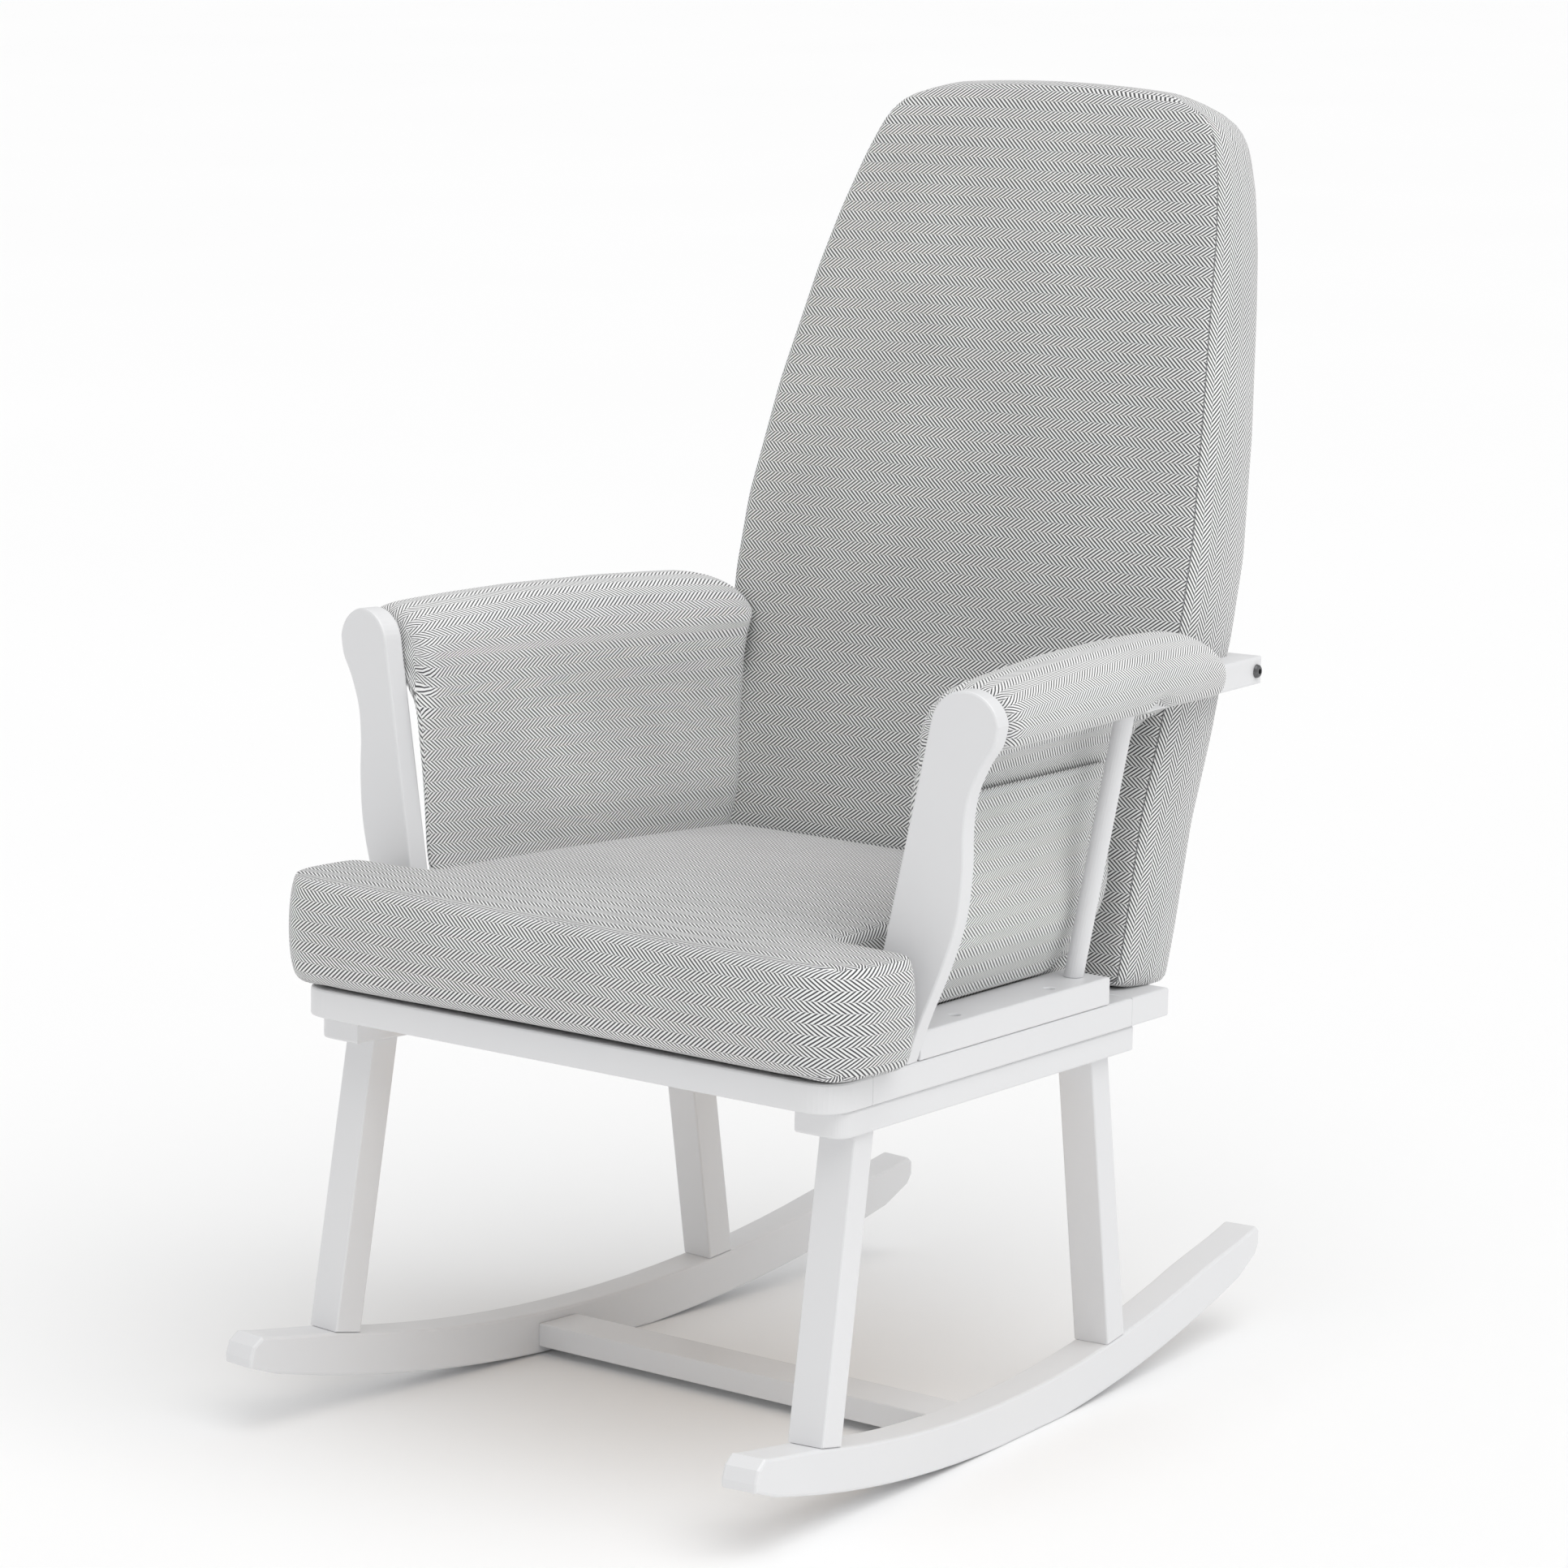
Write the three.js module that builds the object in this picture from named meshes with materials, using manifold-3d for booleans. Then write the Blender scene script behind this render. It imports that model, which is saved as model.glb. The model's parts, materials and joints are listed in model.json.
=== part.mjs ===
// Upholstered nursery rocking chair: painted beech frame on two rockers, loose seat cushion,
// boxed back cushion over a slatted back frame, padded arms with side panels and pockets.
// Millimetres, +Z up. The chair faces -Y and is symmetrical about X = 0.
import * as THREE from 'three';
import { mergeVertices } from 'three/addons/utils/BufferGeometryUtils.js';
import Module from 'manifold-3d';

const wasm = await Module();
wasm.setup();

const GAP = 0.3;                 // paint-film gap left between two touching pieces
const EDGE = 2;                  // softened edge on every painted board
const degrees = THREE.MathUtils.degToRad;

// ---- driving dimensions ---------------------------------------------------------------------

const rocker = {
  radius: 1443,                  // of the bottom arc
  lowestY: -8,                   // where the arc touches the floor
  outerX: 252,                   // outer face at lowestY
  toeIn: degrees(5.5),           // rear ends stand closer together than front ends
  height: 37.5,
  width: 34,
  frontReach: 395,
  rearReach: 416,
  tipLength: 90,                 // the height runs down over this length at each end
  tipHeight: 28,
  flatFront: -25,                // the flat the chair rests on, under its centre of mass
  flatRear: 75,
  facet: 34,                     // length of the other flats that make up the arc
  noseLength: 20,                // the rounding at each end
};

const leg = { width: 34, depth: 28 };
const frontLeg = { bottom: -300, top: -253 };   // front edge, measured along the rocker
const rearLeg = { bottom: 149, top: 116 };

const stretcher = { front: -75, rear: -30, bottom: 8, top: 29.4 };

const seat = {
  frontY: -309,
  bottomZ: 342.4,                // underside of the front rail
  tilt: degrees(2),              // the whole seat leans back
  frontHalf: 290,
  sideSlope: 0.0852,             // half width lost per millimetre towards the rear
  depth: 521,
  thickness: 25,
  railWidth: 60,
  cornerRadius: 36,
};

const slat = { count: 5, width: 52, thickness: 12, margin: 12, sideGap: 1 };
const ledger = { width: 20, height: 12 };

const cleat = { front: 21, rear: 468, inset: 3, width: 48, height: 22, cornerRadius: 18 };

const arm = {
  turn: degrees(8.5),            // the arms run closer together towards the back
  postX: 237.7,                  // inner front bottom corner of the post
  postY: 102.6,
  postThickness: 19,
  flare: 0.2035,                 // outward lean of the inner post edge
  knobRadius: 31,
  knobHeight: 276,               // knob centre above the seat frame
  baseWidth: 50,
  baseHeight: 24,
  baseRear: 422,
  railWidth: 34,
  railBottom: 281,
  railTop: 305,
  railAcross: 85.5,              // rail centre line, measured across the post
  railLength: 487,
  boltInset: 11,
  boltHole: 3.6,
  spindleRadius: 8.5,
  spindleY: 402,
};

// Outer edge of the arm post from its foot to the knob: out from the inner corner, and up.
const postEdge = [
  [43, 0], [55, 36], [72, 78], [85, 120], [89.5, 160], [89.5, 195], [93, 222], [103, 246], [114, 264],
];

const bolt = { headRadius: 6, headHeight: 3.2, shankRadius: 3, socketRadius: 2.6, socketDepth: 2 };
const plug = { radius: 4.5, slack: 0.6, sunk: 3 };
const plugPositions = [[256.5, 203], [246.8, 346]];   // X and distance back from the seat front

const pad = {
  start: 2,
  length: 424,
  outer: 19,                     // padding outside the rail
  inner: 36,                     // padding on the seat's side of the rail
  crown: 38,                     // padding above the rail
  skirt: 2,                      // how far the cover hangs below the rail
  shoulder: 32,
  hem: 8,
  clearance: 1,
};

const strap = { length: 22, thickness: 3, inset: 2, positions: [60, 330] };

const panel = {
  front: 122,
  rearLow: 430,
  rearHigh: 500,
  low: 58,
  high: 269,
  offset: 53,                    // middle of the panel inside the seat edge, at the bottom
  underPad: 46,                  // middle of the panel inside the arm rail, at the top
  thickness: 10,
};

// Its low and high edges are shares of the panel's height.
const pocket = { front: 150, rearLow: 420, rearHigh: 450, low: 0.04, high: 0.82, thickness: 4 };

const back = {
  footY: 221,
  footZ: 348,
  lean: degrees(15.3),
  uprightX: 125,
  uprightWidth: 28,
  uprightThickness: 18,
  uprightTop: 728,
  slatThickness: 8,
  slatHeight: 42,
  slatLevels: [30, 150, 270, 390, 510, 630],
  cornerRadius: 9,
  rim: 24,                       // cushion wall left beside the frame recess
  recess: 32,
  recessTop: 733,
  cover: 2.6,
};

// Back cushion outline at heights up the back: half width and thickness.
const backSections = [
  { up: 5, half: 220, thick: 58 },
  { up: 60, half: 228, thick: 63 },
  { up: 160, half: 231, thick: 71 },
  { up: 267, half: 229, thick: 79 },
  { up: 372, half: 238, thick: 82 },
  { up: 480, half: 231, thick: 80 },
  { up: 589, half: 216, thick: 73 },
  { up: 643, half: 207, thick: 67 },
  { up: 699, half: 192, thick: 61 },
  { up: 735, half: 177, thick: 58 },
  { up: 756, half: 158, thick: 55 },
  { up: 768, half: 132, thick: 50 },
];

const cushion = {
  front: -9,
  rear: 464,
  wingRear: 92,
  wingHalf: 300,
  bodyHalf: 216,
  rearHalf: 192,
  bottom: 26,
  top: 118,
  cornerRadius: 38,
  edge: 8,
};

const crossRail = { thickness: 19, front: 298 };

// ---- materials --------------------------------------------------------------------------------

const paint = new THREE.MeshStandardMaterial({ color: 0xf2f2f2, roughness: 0.35, metalness: 0 });
const bareWood = new THREE.MeshStandardMaterial({ color: 0xd9bf94, roughness: 0.6, metalness: 0 });
const fabric = new THREE.MeshStandardMaterial({ color: 0xb9b9bb, roughness: 0.9, metalness: 0 });
const steel = new THREE.MeshStandardMaterial({ color: 0x8c8f92, roughness: 0.3, metalness: 1 });

// ---- building blocks --------------------------------------------------------------------------

const chair = new THREE.Group();

function add(name, geometry, material) {
  const mesh = new THREE.Mesh(geometry, material);
  mesh.name = name;
  chair.add(mesh);
}

function mirrored(geometry) {
  const copy = geometry.index ? geometry.toNonIndexed() : geometry.clone();
  const p = copy.attributes.position;
  for (let i = 0; i < p.count; i += 3) {
    const [bx, by, bz] = [p.getX(i + 1), p.getY(i + 1), p.getZ(i + 1)];
    p.setXYZ(i, -p.getX(i), p.getY(i), p.getZ(i));
    p.setXYZ(i + 1, -p.getX(i + 2), p.getY(i + 2), p.getZ(i + 2));
    p.setXYZ(i + 2, -bx, by, bz);
  }
  copy.computeVertexNormals();
  return copy;
}

// Adds a right-hand piece and its mirror image.
function addPair(name, geometry, material) {
  add(`${name}_right`, geometry, material);
  add(`${name}_left`, mirrored(geometry), material);
}

function outline(points) {
  return new THREE.Shape(points.map(([x, y]) => new THREE.Vector2(x, y)));
}

// A board cut to an outline, its edges softened on both faces.
function board(shape, thickness, edge = EDGE, curveSegments = 12) {
  const geometry = new THREE.ExtrudeGeometry(shape, {
    depth: thickness - 2 * edge,
    bevelEnabled: true,
    bevelThickness: edge,
    bevelSize: edge,
    bevelOffset: -edge,
    bevelSegments: 2,
    curveSegments,
  });
  return geometry.translate(0, 0, edge);
}

function plainBoard(shape, thickness, curveSegments = 12) {
  return new THREE.ExtrudeGeometry(shape, { depth: thickness, bevelEnabled: false, curveSegments });
}

function place(geometry, xAxis, yAxis, zAxis, origin) {
  const matrix = new THREE.Matrix4().makeBasis(xAxis, yAxis, zAxis).setPosition(origin);
  return geometry.applyMatrix4(matrix);
}

const UP = new THREE.Vector3(0, 0, 1);

// Directions of something turned inwards towards the rear by an angle, on the right-hand side.
function turned(angle) {
  return {
    rearward: new THREE.Vector3(-Math.sin(angle), Math.cos(angle), 0),
    outward: new THREE.Vector3(Math.cos(angle), Math.sin(angle), 0),
  };
}

// Seat coordinates: X across, Y back from the front edge, Z up from the underside of the frame.
const seatMatrix = new THREE.Matrix4()
  .makeRotationX(-seat.tilt)
  .setPosition(0, seat.frontY, seat.bottomZ);

function onSeat(geometry) {
  return geometry.applyMatrix4(seatMatrix);
}

function toManifold(geometry) {
  const bare = geometry.clone();
  bare.deleteAttribute('normal');
  bare.deleteAttribute('uv');
  const merged = mergeVertices(bare, 1e-3);
  return new wasm.Manifold(new wasm.Mesh({
    numProp: 3,
    vertProperties: new Float32Array(merged.attributes.position.array),
    triVerts: new Uint32Array(merged.index.array),
  }));
}

function fromManifold(manifold) {
  const mesh = manifold.getMesh();
  const geometry = new THREE.BufferGeometry();
  geometry.setAttribute('position', new THREE.BufferAttribute(mesh.vertProperties, 3));
  geometry.setIndex(new THREE.BufferAttribute(mesh.triVerts, 1));
  geometry.computeVertexNormals();
  return geometry;
}

function subtract(body, ...tools) {
  let result = toManifold(body);
  for (const tool of tools) {
    result = result.subtract(toManifold(tool));
  }
  return fromManifold(result);
}

// A closed skin through rings of points, with flat ends. Every ring has the same point count.
function loft(rings) {
  const positions = rings.flat().flatMap((p) => [p.x, p.y, p.z]);
  const size = rings[0].length;
  const index = [];
  for (let r = 0; r + 1 < rings.length; r += 1) {
    for (let i = 0; i < size; i += 1) {
      const a = r * size + i;
      const b = r * size + ((i + 1) % size);
      index.push(a, b, b + size, a, b + size, a + size);
    }
  }
  const last = (rings.length - 1) * size;
  for (let i = 1; i + 1 < size; i += 1) {
    index.push(0, i + 1, i);
    index.push(last, last + i, last + i + 1);
  }
  const geometry = new THREE.BufferGeometry();
  geometry.setAttribute('position', new THREE.Float32BufferAttribute(positions, 3));
  geometry.setIndex(index);
  geometry.computeVertexNormals();
  return geometry;
}

// ---- rockers, legs and stretcher --------------------------------------------------------------

const rockerAxes = turned(rocker.toeIn);

// Height of an arc struck from the rocker's centre, at a distance along the rocker.
function arcHeight(along, radius) {
  return rocker.radius - Math.sqrt(radius * radius - along * along);
}

function rockerTop(along) {
  const full = rocker.radius - rocker.height;
  const tipStart = along < 0 ? rocker.frontReach - rocker.tipLength : rocker.rearReach - rocker.tipLength;
  const into = Math.max(0, (Math.abs(along) - tipStart) / rocker.tipLength);
  return arcHeight(along, full) - into * (rocker.height - rocker.tipHeight);
}

// Height of the underside: the arc, eased down at the rear to meet the resting flat.
function rockerUnderside(along) {
  const { flatFront, flatRear, rearReach, radius } = rocker;
  if (along >= flatFront && along <= flatRear) {
    return 0;
  }
  const easing = along < 0 ? 0 : (rearReach - along) / (rearReach - flatRear);
  return arcHeight(along, radius) - easing * arcHeight(flatRear, radius);
}

// Points of the underside from one end of the resting flat out towards a tip.
function undersidePoints(start, end) {
  const step = Math.sign(end - start) * rocker.facet;
  const points = [];
  for (let s = start; Math.abs(s) < Math.abs(end); s += step) {
    points.push([s, rockerUnderside(s)]);
  }
  return points;
}

function rockerOutline() {
  const { frontReach, rearReach, facet, radius, noseLength } = rocker;
  const rearLow = arcHeight(rearReach, radius);
  const rearHigh = rockerTop(rearReach);
  const points = [
    ...undersidePoints(rocker.flatFront, -frontReach + noseLength).reverse(),
    ...undersidePoints(rocker.flatRear, rearReach - noseLength),
    [rearReach - 6, rearLow + 5],
    [rearReach, rearLow + 14],
    [rearReach, rearHigh - 4],
    [rearReach - 4, rearHigh],
  ];
  for (let s = rearReach - facet; s > -frontReach + noseLength; s -= facet) {
    points.push([s, rockerTop(s)]);
  }
  const frontLow = arcHeight(frontReach, radius);
  const frontHigh = rockerTop(-frontReach);
  points.push([-frontReach + 14, frontHigh - 2]);
  points.push([-frontReach + 4, frontHigh - 9]);
  points.push([-frontReach, frontLow + 10]);
  points.push([-frontReach, frontLow + 3]);
  return outline(points);
}

function onRockerPlane(geometry, width) {
  const origin = new THREE.Vector3(rocker.outerX, rocker.lowestY, 0);
  origin.addScaledVector(rockerAxes.outward, -width);
  return place(geometry, rockerAxes.rearward, UP, rockerAxes.outward, origin);
}

// Underside of the leg rails at a distance along the rocker.
function cleatUnderside(along) {
  const y = rocker.lowestY + along * Math.cos(rocker.toeIn);
  const fromFront = y - seat.frontY;
  return seat.bottomZ - (cleat.height + 2 * GAP) - fromFront * Math.tan(seat.tilt);
}

function legShape({ bottom, top }) {
  const foot = (along) => rockerTop(along) + GAP;
  return outline([
    [bottom, foot(bottom)],
    [bottom + leg.depth / 2, foot(bottom + leg.depth / 2)],
    [bottom + leg.depth, foot(bottom + leg.depth)],
    [top + leg.depth, cleatUnderside(top + leg.depth)],
    [top, cleatUnderside(top)],
  ]);
}

function buildUnderframe() {
  addPair('rocker', onRockerPlane(board(rockerOutline(), rocker.width, 2.5), rocker.width), paint);
  addPair('leg_front', onRockerPlane(board(legShape(frontLeg), leg.width, 1.5), leg.width), paint);
  addPair('leg_rear', onRockerPlane(board(legShape(rearLeg), leg.width, 1.5), leg.width), paint);
}

// Inner face of the right rocker at a given Y.
function rockerInnerX(y) {
  const slope = Math.tan(rocker.toeIn);
  return rocker.outerX - rocker.width / Math.cos(rocker.toeIn) - slope * (y - rocker.lowestY);
}

function buildStretcher() {
  const frontX = rockerInnerX(stretcher.front) - GAP;
  const rearX = rockerInnerX(stretcher.rear) - GAP;
  const shape = outline([
    [-frontX, stretcher.front],
    [frontX, stretcher.front],
    [rearX, stretcher.rear],
    [-rearX, stretcher.rear],
  ]);
  const geometry = board(shape, stretcher.top - stretcher.bottom, 1.5);
  add('rocker_stretcher', geometry.translate(0, 0, stretcher.bottom), paint);
}

// ---- seat frame ---------------------------------------------------------------------------------

function seatEdge(y, inset = 0) {
  return seat.frontHalf - seat.sideSlope * y - inset;
}

function frontRailShape() {
  const r = seat.cornerRadius;
  const rear = seat.railWidth;
  const shape = new THREE.Shape();
  shape.moveTo(-seatEdge(rear), rear);
  shape.lineTo(-seatEdge(r), r);
  shape.quadraticCurveTo(-seatEdge(0), 0, -seatEdge(0) + r, 0);
  shape.lineTo(seatEdge(0) - r, 0);
  shape.quadraticCurveTo(seatEdge(0), 0, seatEdge(r), r);
  shape.lineTo(seatEdge(rear), rear);
  return shape;
}

function strip(front, rear, outerInset, width) {
  return outline([
    [seatEdge(front, outerInset + width), front],
    [seatEdge(front, outerInset), front],
    [seatEdge(rear, outerInset), rear],
    [seatEdge(rear, outerInset + width), rear],
  ]);
}

function cleatShape() {
  const r = cleat.cornerRadius;
  const inner = cleat.inset + cleat.width;
  const shape = new THREE.Shape();
  shape.moveTo(seatEdge(cleat.front, inner), cleat.front);
  shape.lineTo(seatEdge(cleat.front, cleat.inset) - r, cleat.front);
  const corner = [seatEdge(cleat.front, cleat.inset), cleat.front];
  shape.quadraticCurveTo(...corner, seatEdge(cleat.front + r, cleat.inset), cleat.front + r);
  shape.lineTo(seatEdge(cleat.rear, cleat.inset), cleat.rear);
  shape.lineTo(seatEdge(cleat.rear, inner), cleat.rear);
  return shape;
}

function lift(geometry, z) {
  return onSeat(geometry.translate(0, 0, z));
}

function buildSeatFrame() {
  const rearStart = seat.depth - seat.railWidth;
  const sideFront = seat.railWidth + GAP;
  const sideRear = rearStart - GAP;
  const rearShape = outline([
    [-seatEdge(rearStart), rearStart],
    [seatEdge(rearStart), rearStart],
    [seatEdge(seat.depth), seat.depth],
    [-seatEdge(seat.depth), seat.depth],
  ]);
  add('seat_rail_front', lift(board(frontRailShape(), seat.thickness), 0), paint);
  add('seat_rail_rear', lift(board(rearShape, seat.thickness), 0), paint);
  const side = strip(sideFront, sideRear, 0, seat.railWidth);
  addPair('seat_rail', lift(board(side, seat.thickness), 0), paint);
  addPair('leg_rail', lift(board(cleatShape(), cleat.height), -cleat.height - GAP), paint);
  const ledge = strip(sideFront, sideRear, seat.railWidth + GAP, ledger.width);
  addPair('slat_ledger', lift(plainBoard(ledge, ledger.height), 0), bareWood);
}

function buildSeatSlats() {
  const first = seat.railWidth + slat.margin;
  const last = seat.depth - seat.railWidth - slat.margin - slat.width;
  const pitch = (last - first) / (slat.count - 1);
  const inset = seat.railWidth + slat.sideGap;
  for (let i = 0; i < slat.count; i += 1) {
    const front = first + i * pitch;
    const rear = front + slat.width;
    const shape = outline([
      [-seatEdge(front, inset), front],
      [seatEdge(front, inset), front],
      [seatEdge(rear, inset), rear],
      [-seatEdge(rear, inset), rear],
    ]);
    const geometry = plainBoard(shape, slat.thickness);
    add(`seat_slat_${i + 1}`, lift(geometry, ledger.height + GAP), bareWood);
  }
}

// ---- arms -----------------------------------------------------------------------------------------

const armAxes = turned(arm.turn);
const forward = armAxes.rearward.clone().negate();
const postBack = new THREE.Vector3(arm.postX, arm.postY, 0)
  .addScaledVector(armAxes.rearward, arm.postThickness);

// The post: straight inner edge, round knob at the top, waist and belly on the outer edge.
function postShape() {
  const knobX = arm.flare * arm.knobHeight + arm.knobRadius;
  const knobStart = degrees(8);
  const shape = new THREE.Shape();
  shape.moveTo(0, 0);
  shape.lineTo(...postEdge[0]);
  shape.splineThru([
    ...postEdge.slice(1).map(([x, y]) => new THREE.Vector2(x, y)),
    new THREE.Vector2(
      knobX + arm.knobRadius * Math.cos(knobStart),
      arm.knobHeight + arm.knobRadius * Math.sin(knobStart),
    ),
  ]);
  shape.absarc(knobX, arm.knobHeight, arm.knobRadius, knobStart, degrees(168), false);
  return shape;
}

// Across the arm, back along it from the rear face of the post, and up from the seat frame's underside.
function alongArm(across, along, height) {
  return postBack.clone()
    .addScaledVector(armAxes.outward, across)
    .addScaledVector(armAxes.rearward, along)
    .setZ(height);
}

function buildPosts() {
  const geometry = board(postShape(), arm.postThickness, EDGE, 10);
  const origin = postBack.clone().setZ(seat.thickness + GAP);
  place(geometry, armAxes.outward, UP, forward, origin);
  addPair('arm_post', onSeat(geometry), paint);
}

function circle(x, y, radius) {
  const sides = 20;
  const points = [];
  for (let i = 0; i < sides; i += 1) {
    const angle = (-2 * Math.PI * i) / sides;
    points.push(new THREE.Vector2(x + radius * Math.cos(angle), y + radius * Math.sin(angle)));
  }
  return new THREE.Path(points);
}

function buildBaseRails() {
  const behindPost = (x) => postBack.y + (x - postBack.x) * Math.tan(arm.turn) + 2 * GAP;
  const innerFront = seatEdge(postBack.y, arm.baseWidth);
  const outerFront = seatEdge(postBack.y + 6);
  const shape = outline([
    [innerFront, behindPost(innerFront)],
    [outerFront, behindPost(outerFront)],
    [seatEdge(arm.baseRear), arm.baseRear],
    [seatEdge(arm.baseRear, arm.baseWidth), arm.baseRear],
  ]);
  for (const [x, y] of plugPositions) {
    shape.holes.push(circle(x, y, plug.radius));
  }
  const bottom = seat.thickness + GAP;
  addPair('arm_base_rail', lift(board(shape, arm.baseHeight, 1.5), bottom), paint);
  plugPositions.forEach(([x, y], i) => {
    const radius = plug.radius - plug.slack;
    const length = arm.baseHeight - plug.sunk;
    const body = new THREE.CylinderGeometry(radius, radius, length, 20);
    body.rotateX(Math.PI / 2).translate(x, y, length / 2);
    const name = i === 0 ? 'front' : 'rear';
    addPair(`base_rail_screw_${name}`, lift(body, bottom), steel);
  });
}

function buildArmRails() {
  const height = arm.railTop - arm.railBottom;
  const shape = outline([[0, 0], [arm.railLength, 0], [arm.railLength, height], [0, height]]);
  const boltAlong = arm.railLength - arm.boltInset;
  shape.holes.push(circle(boltAlong, height / 2, arm.boltHole));
  const rail = board(shape, arm.railWidth);
  const origin = alongArm(arm.railAcross - arm.railWidth / 2, GAP, arm.railBottom);
  place(rail, armAxes.rearward, UP, armAxes.outward, origin);
  addPair('arm_top_rail', onSeat(rail), paint);
}

// Button-head bolt with a hexagon socket, its shank through the arm rail.
function buildArmBolts() {
  const { headRadius, headHeight, shankRadius, socketRadius, socketDepth } = bolt;
  const profile = [
    [0, 0], [shankRadius, 0], [shankRadius, arm.railWidth],
    [headRadius, arm.railWidth], [headRadius * 0.9, arm.railWidth + headHeight * 0.7],
    [headRadius * 0.7, arm.railWidth + headHeight], [0, arm.railWidth + headHeight],
  ].map(([r, z]) => new THREE.Vector2(r, z));
  const body = new THREE.LatheGeometry(profile, 24).rotateX(Math.PI / 2);
  const socket = new THREE.CylinderGeometry(socketRadius, socketRadius, 2 * socketDepth, 6);
  socket.rotateX(Math.PI / 2).translate(0, 0, arm.railWidth + headHeight);
  const geometry = subtract(body, socket).translate(0, 0, GAP);
  const middle = (arm.railBottom + arm.railTop) / 2;
  const inner = arm.railAcross - arm.railWidth / 2;
  const origin = alongArm(inner, arm.railLength - arm.boltInset + GAP, middle);
  place(geometry, armAxes.rearward, UP, armAxes.outward, origin);
  addPair('arm_bolt', onSeat(geometry), steel);
}

// The rod between base rail and top rail leans outwards; both of its ends are cut level.
function buildSpindles() {
  const bottom = seat.thickness + arm.baseHeight + 2 * GAP;
  const top = arm.railBottom - GAP;
  const footX = seatEdge(arm.spindleY, arm.baseWidth / 2);
  const backFromPost = (arm.spindleY - postBack.y) / Math.cos(arm.turn);
  const headX = alongArm(arm.railAcross, backFromPost, 0).x - 2;
  const lean = (headX - footX) / (top - bottom);
  const rod = new THREE.CylinderGeometry(arm.spindleRadius, arm.spindleRadius, top - bottom, 24);
  rod.rotateX(Math.PI / 2).translate(0, 0, (top - bottom) / 2);
  const shear = new THREE.Matrix4().set(1, 0, lean, 0, 0, 1, 0, 0, 0, 0, 1, 0, 0, 0, 0, 1);
  rod.applyMatrix4(shear).translate(footX, arm.spindleY, bottom);
  addPair('arm_spindle', onSeat(rod), paint);
}

// Padded roll that straddles the arm rail, open underneath.
function buildArmPads() {
  const slotHalf = arm.railWidth / 2 + GAP * 2;
  const outer = arm.railWidth / 2 + pad.outer;
  const inner = -arm.railWidth / 2 - pad.inner;
  const low = arm.railBottom - pad.skirt;
  const slotTop = arm.railTop + GAP * 2;
  const high = arm.railTop + pad.crown;
  const shape = new THREE.Shape();
  shape.moveTo(-slotHalf, low);
  shape.lineTo(-slotHalf, slotTop);
  shape.lineTo(slotHalf, slotTop);
  shape.lineTo(slotHalf, low);
  shape.lineTo(outer - pad.hem, low);
  shape.quadraticCurveTo(outer, low, outer, low + pad.hem);
  shape.lineTo(outer, high - pad.shoulder);
  shape.quadraticCurveTo(outer, high, outer - pad.shoulder, high);
  shape.lineTo(inner + pad.shoulder, high);
  shape.quadraticCurveTo(inner, high, inner, high - pad.shoulder);
  shape.lineTo(inner, low + pad.hem);
  shape.quadraticCurveTo(inner, low, inner + pad.hem, low);
  const roll = plainBoard(shape, pad.length, 8);
  const origin = alongArm(arm.railAcross, pad.start + pad.length, 0);
  place(roll, armAxes.outward, UP, forward, origin);
  addPair('arm_pad', subtract(onSeat(roll), backEnvelope(pad.clearance)), fabric);
}

// Two short straps hold each pad to the underside of its rail.
function buildArmStraps() {
  const width = arm.railWidth - 2 * strap.inset;
  const middle = arm.railBottom - strap.thickness / 2 - GAP;
  strap.positions.forEach((along, i) => {
    const band = new THREE.BoxGeometry(width, strap.length, strap.thickness);
    place(band, armAxes.outward, armAxes.rearward, UP, alongArm(arm.railAcross, along, middle));
    const name = i === 0 ? 'front' : 'rear';
    addPair(`arm_strap_${name}`, onSeat(band), fabric);
  });
}

// Middle surface of the arm side panel at a distance back from the seat front; v runs bottom to top.
function panelPoint(y, v, outward) {
  const lowX = seatEdge(y, panel.offset);
  const alongRail = (y - postBack.y) / Math.cos(arm.turn);
  const highX = alongArm(arm.railAcross - panel.underPad, alongRail, 0).x;
  const x = THREE.MathUtils.lerp(lowX, highX, v);
  return new THREE.Vector3(x + outward, y, THREE.MathUtils.lerp(panel.low, panel.high, v));
}

// A slab on the panel surface between two offsets, as a stack of closed rings from front to back.
// rearLow and rearHigh are its rear edge at the foot and the top of the panel.
function panelSlab({ front, rearLow, rearHigh, low, high }, inside, outside) {
  const steps = 6;
  const rings = [];
  for (let i = 0; i <= steps; i += 1) {
    const corner = (j, offset) => {
      const v = THREE.MathUtils.lerp(low, high, j / steps);
      const rear = THREE.MathUtils.lerp(rearLow, rearHigh, v);
      return panelPoint(THREE.MathUtils.lerp(front, rear, i / steps), v, offset);
    };
    const ring = [];
    for (let j = 0; j <= steps; j += 1) {
      ring.push(corner(j, inside));
    }
    for (let j = steps; j >= 0; j -= 1) {
      ring.push(corner(j, outside));
    }
    rings.push(ring);
  }
  return loft(rings);
}

function buildPanels() {
  const half = panel.thickness / 2;
  const sheet = { ...panel, low: 0, high: 1 };
  addPair('arm_panel', onSeat(panelSlab(sheet, -half, half)), fabric);
  const start = half + GAP * 2;
  addPair('arm_pocket', onSeat(panelSlab(pocket, start, start + pocket.thickness)), fabric);
}

// ---- back -------------------------------------------------------------------------------------------

// Back coordinates: X across, Y up the back, Z out of its rear face.
const backUp = new THREE.Vector3(0, Math.sin(back.lean), Math.cos(back.lean));
const backRearward = new THREE.Vector3(0, Math.cos(back.lean), -Math.sin(back.lean));
const backFoot = new THREE.Vector3(0, back.footY, back.footZ);

function onBack(x, up, rearward) {
  return backFoot.clone().addScaledVector(backUp, up).addScaledVector(backRearward, rearward).setX(x);
}

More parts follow.
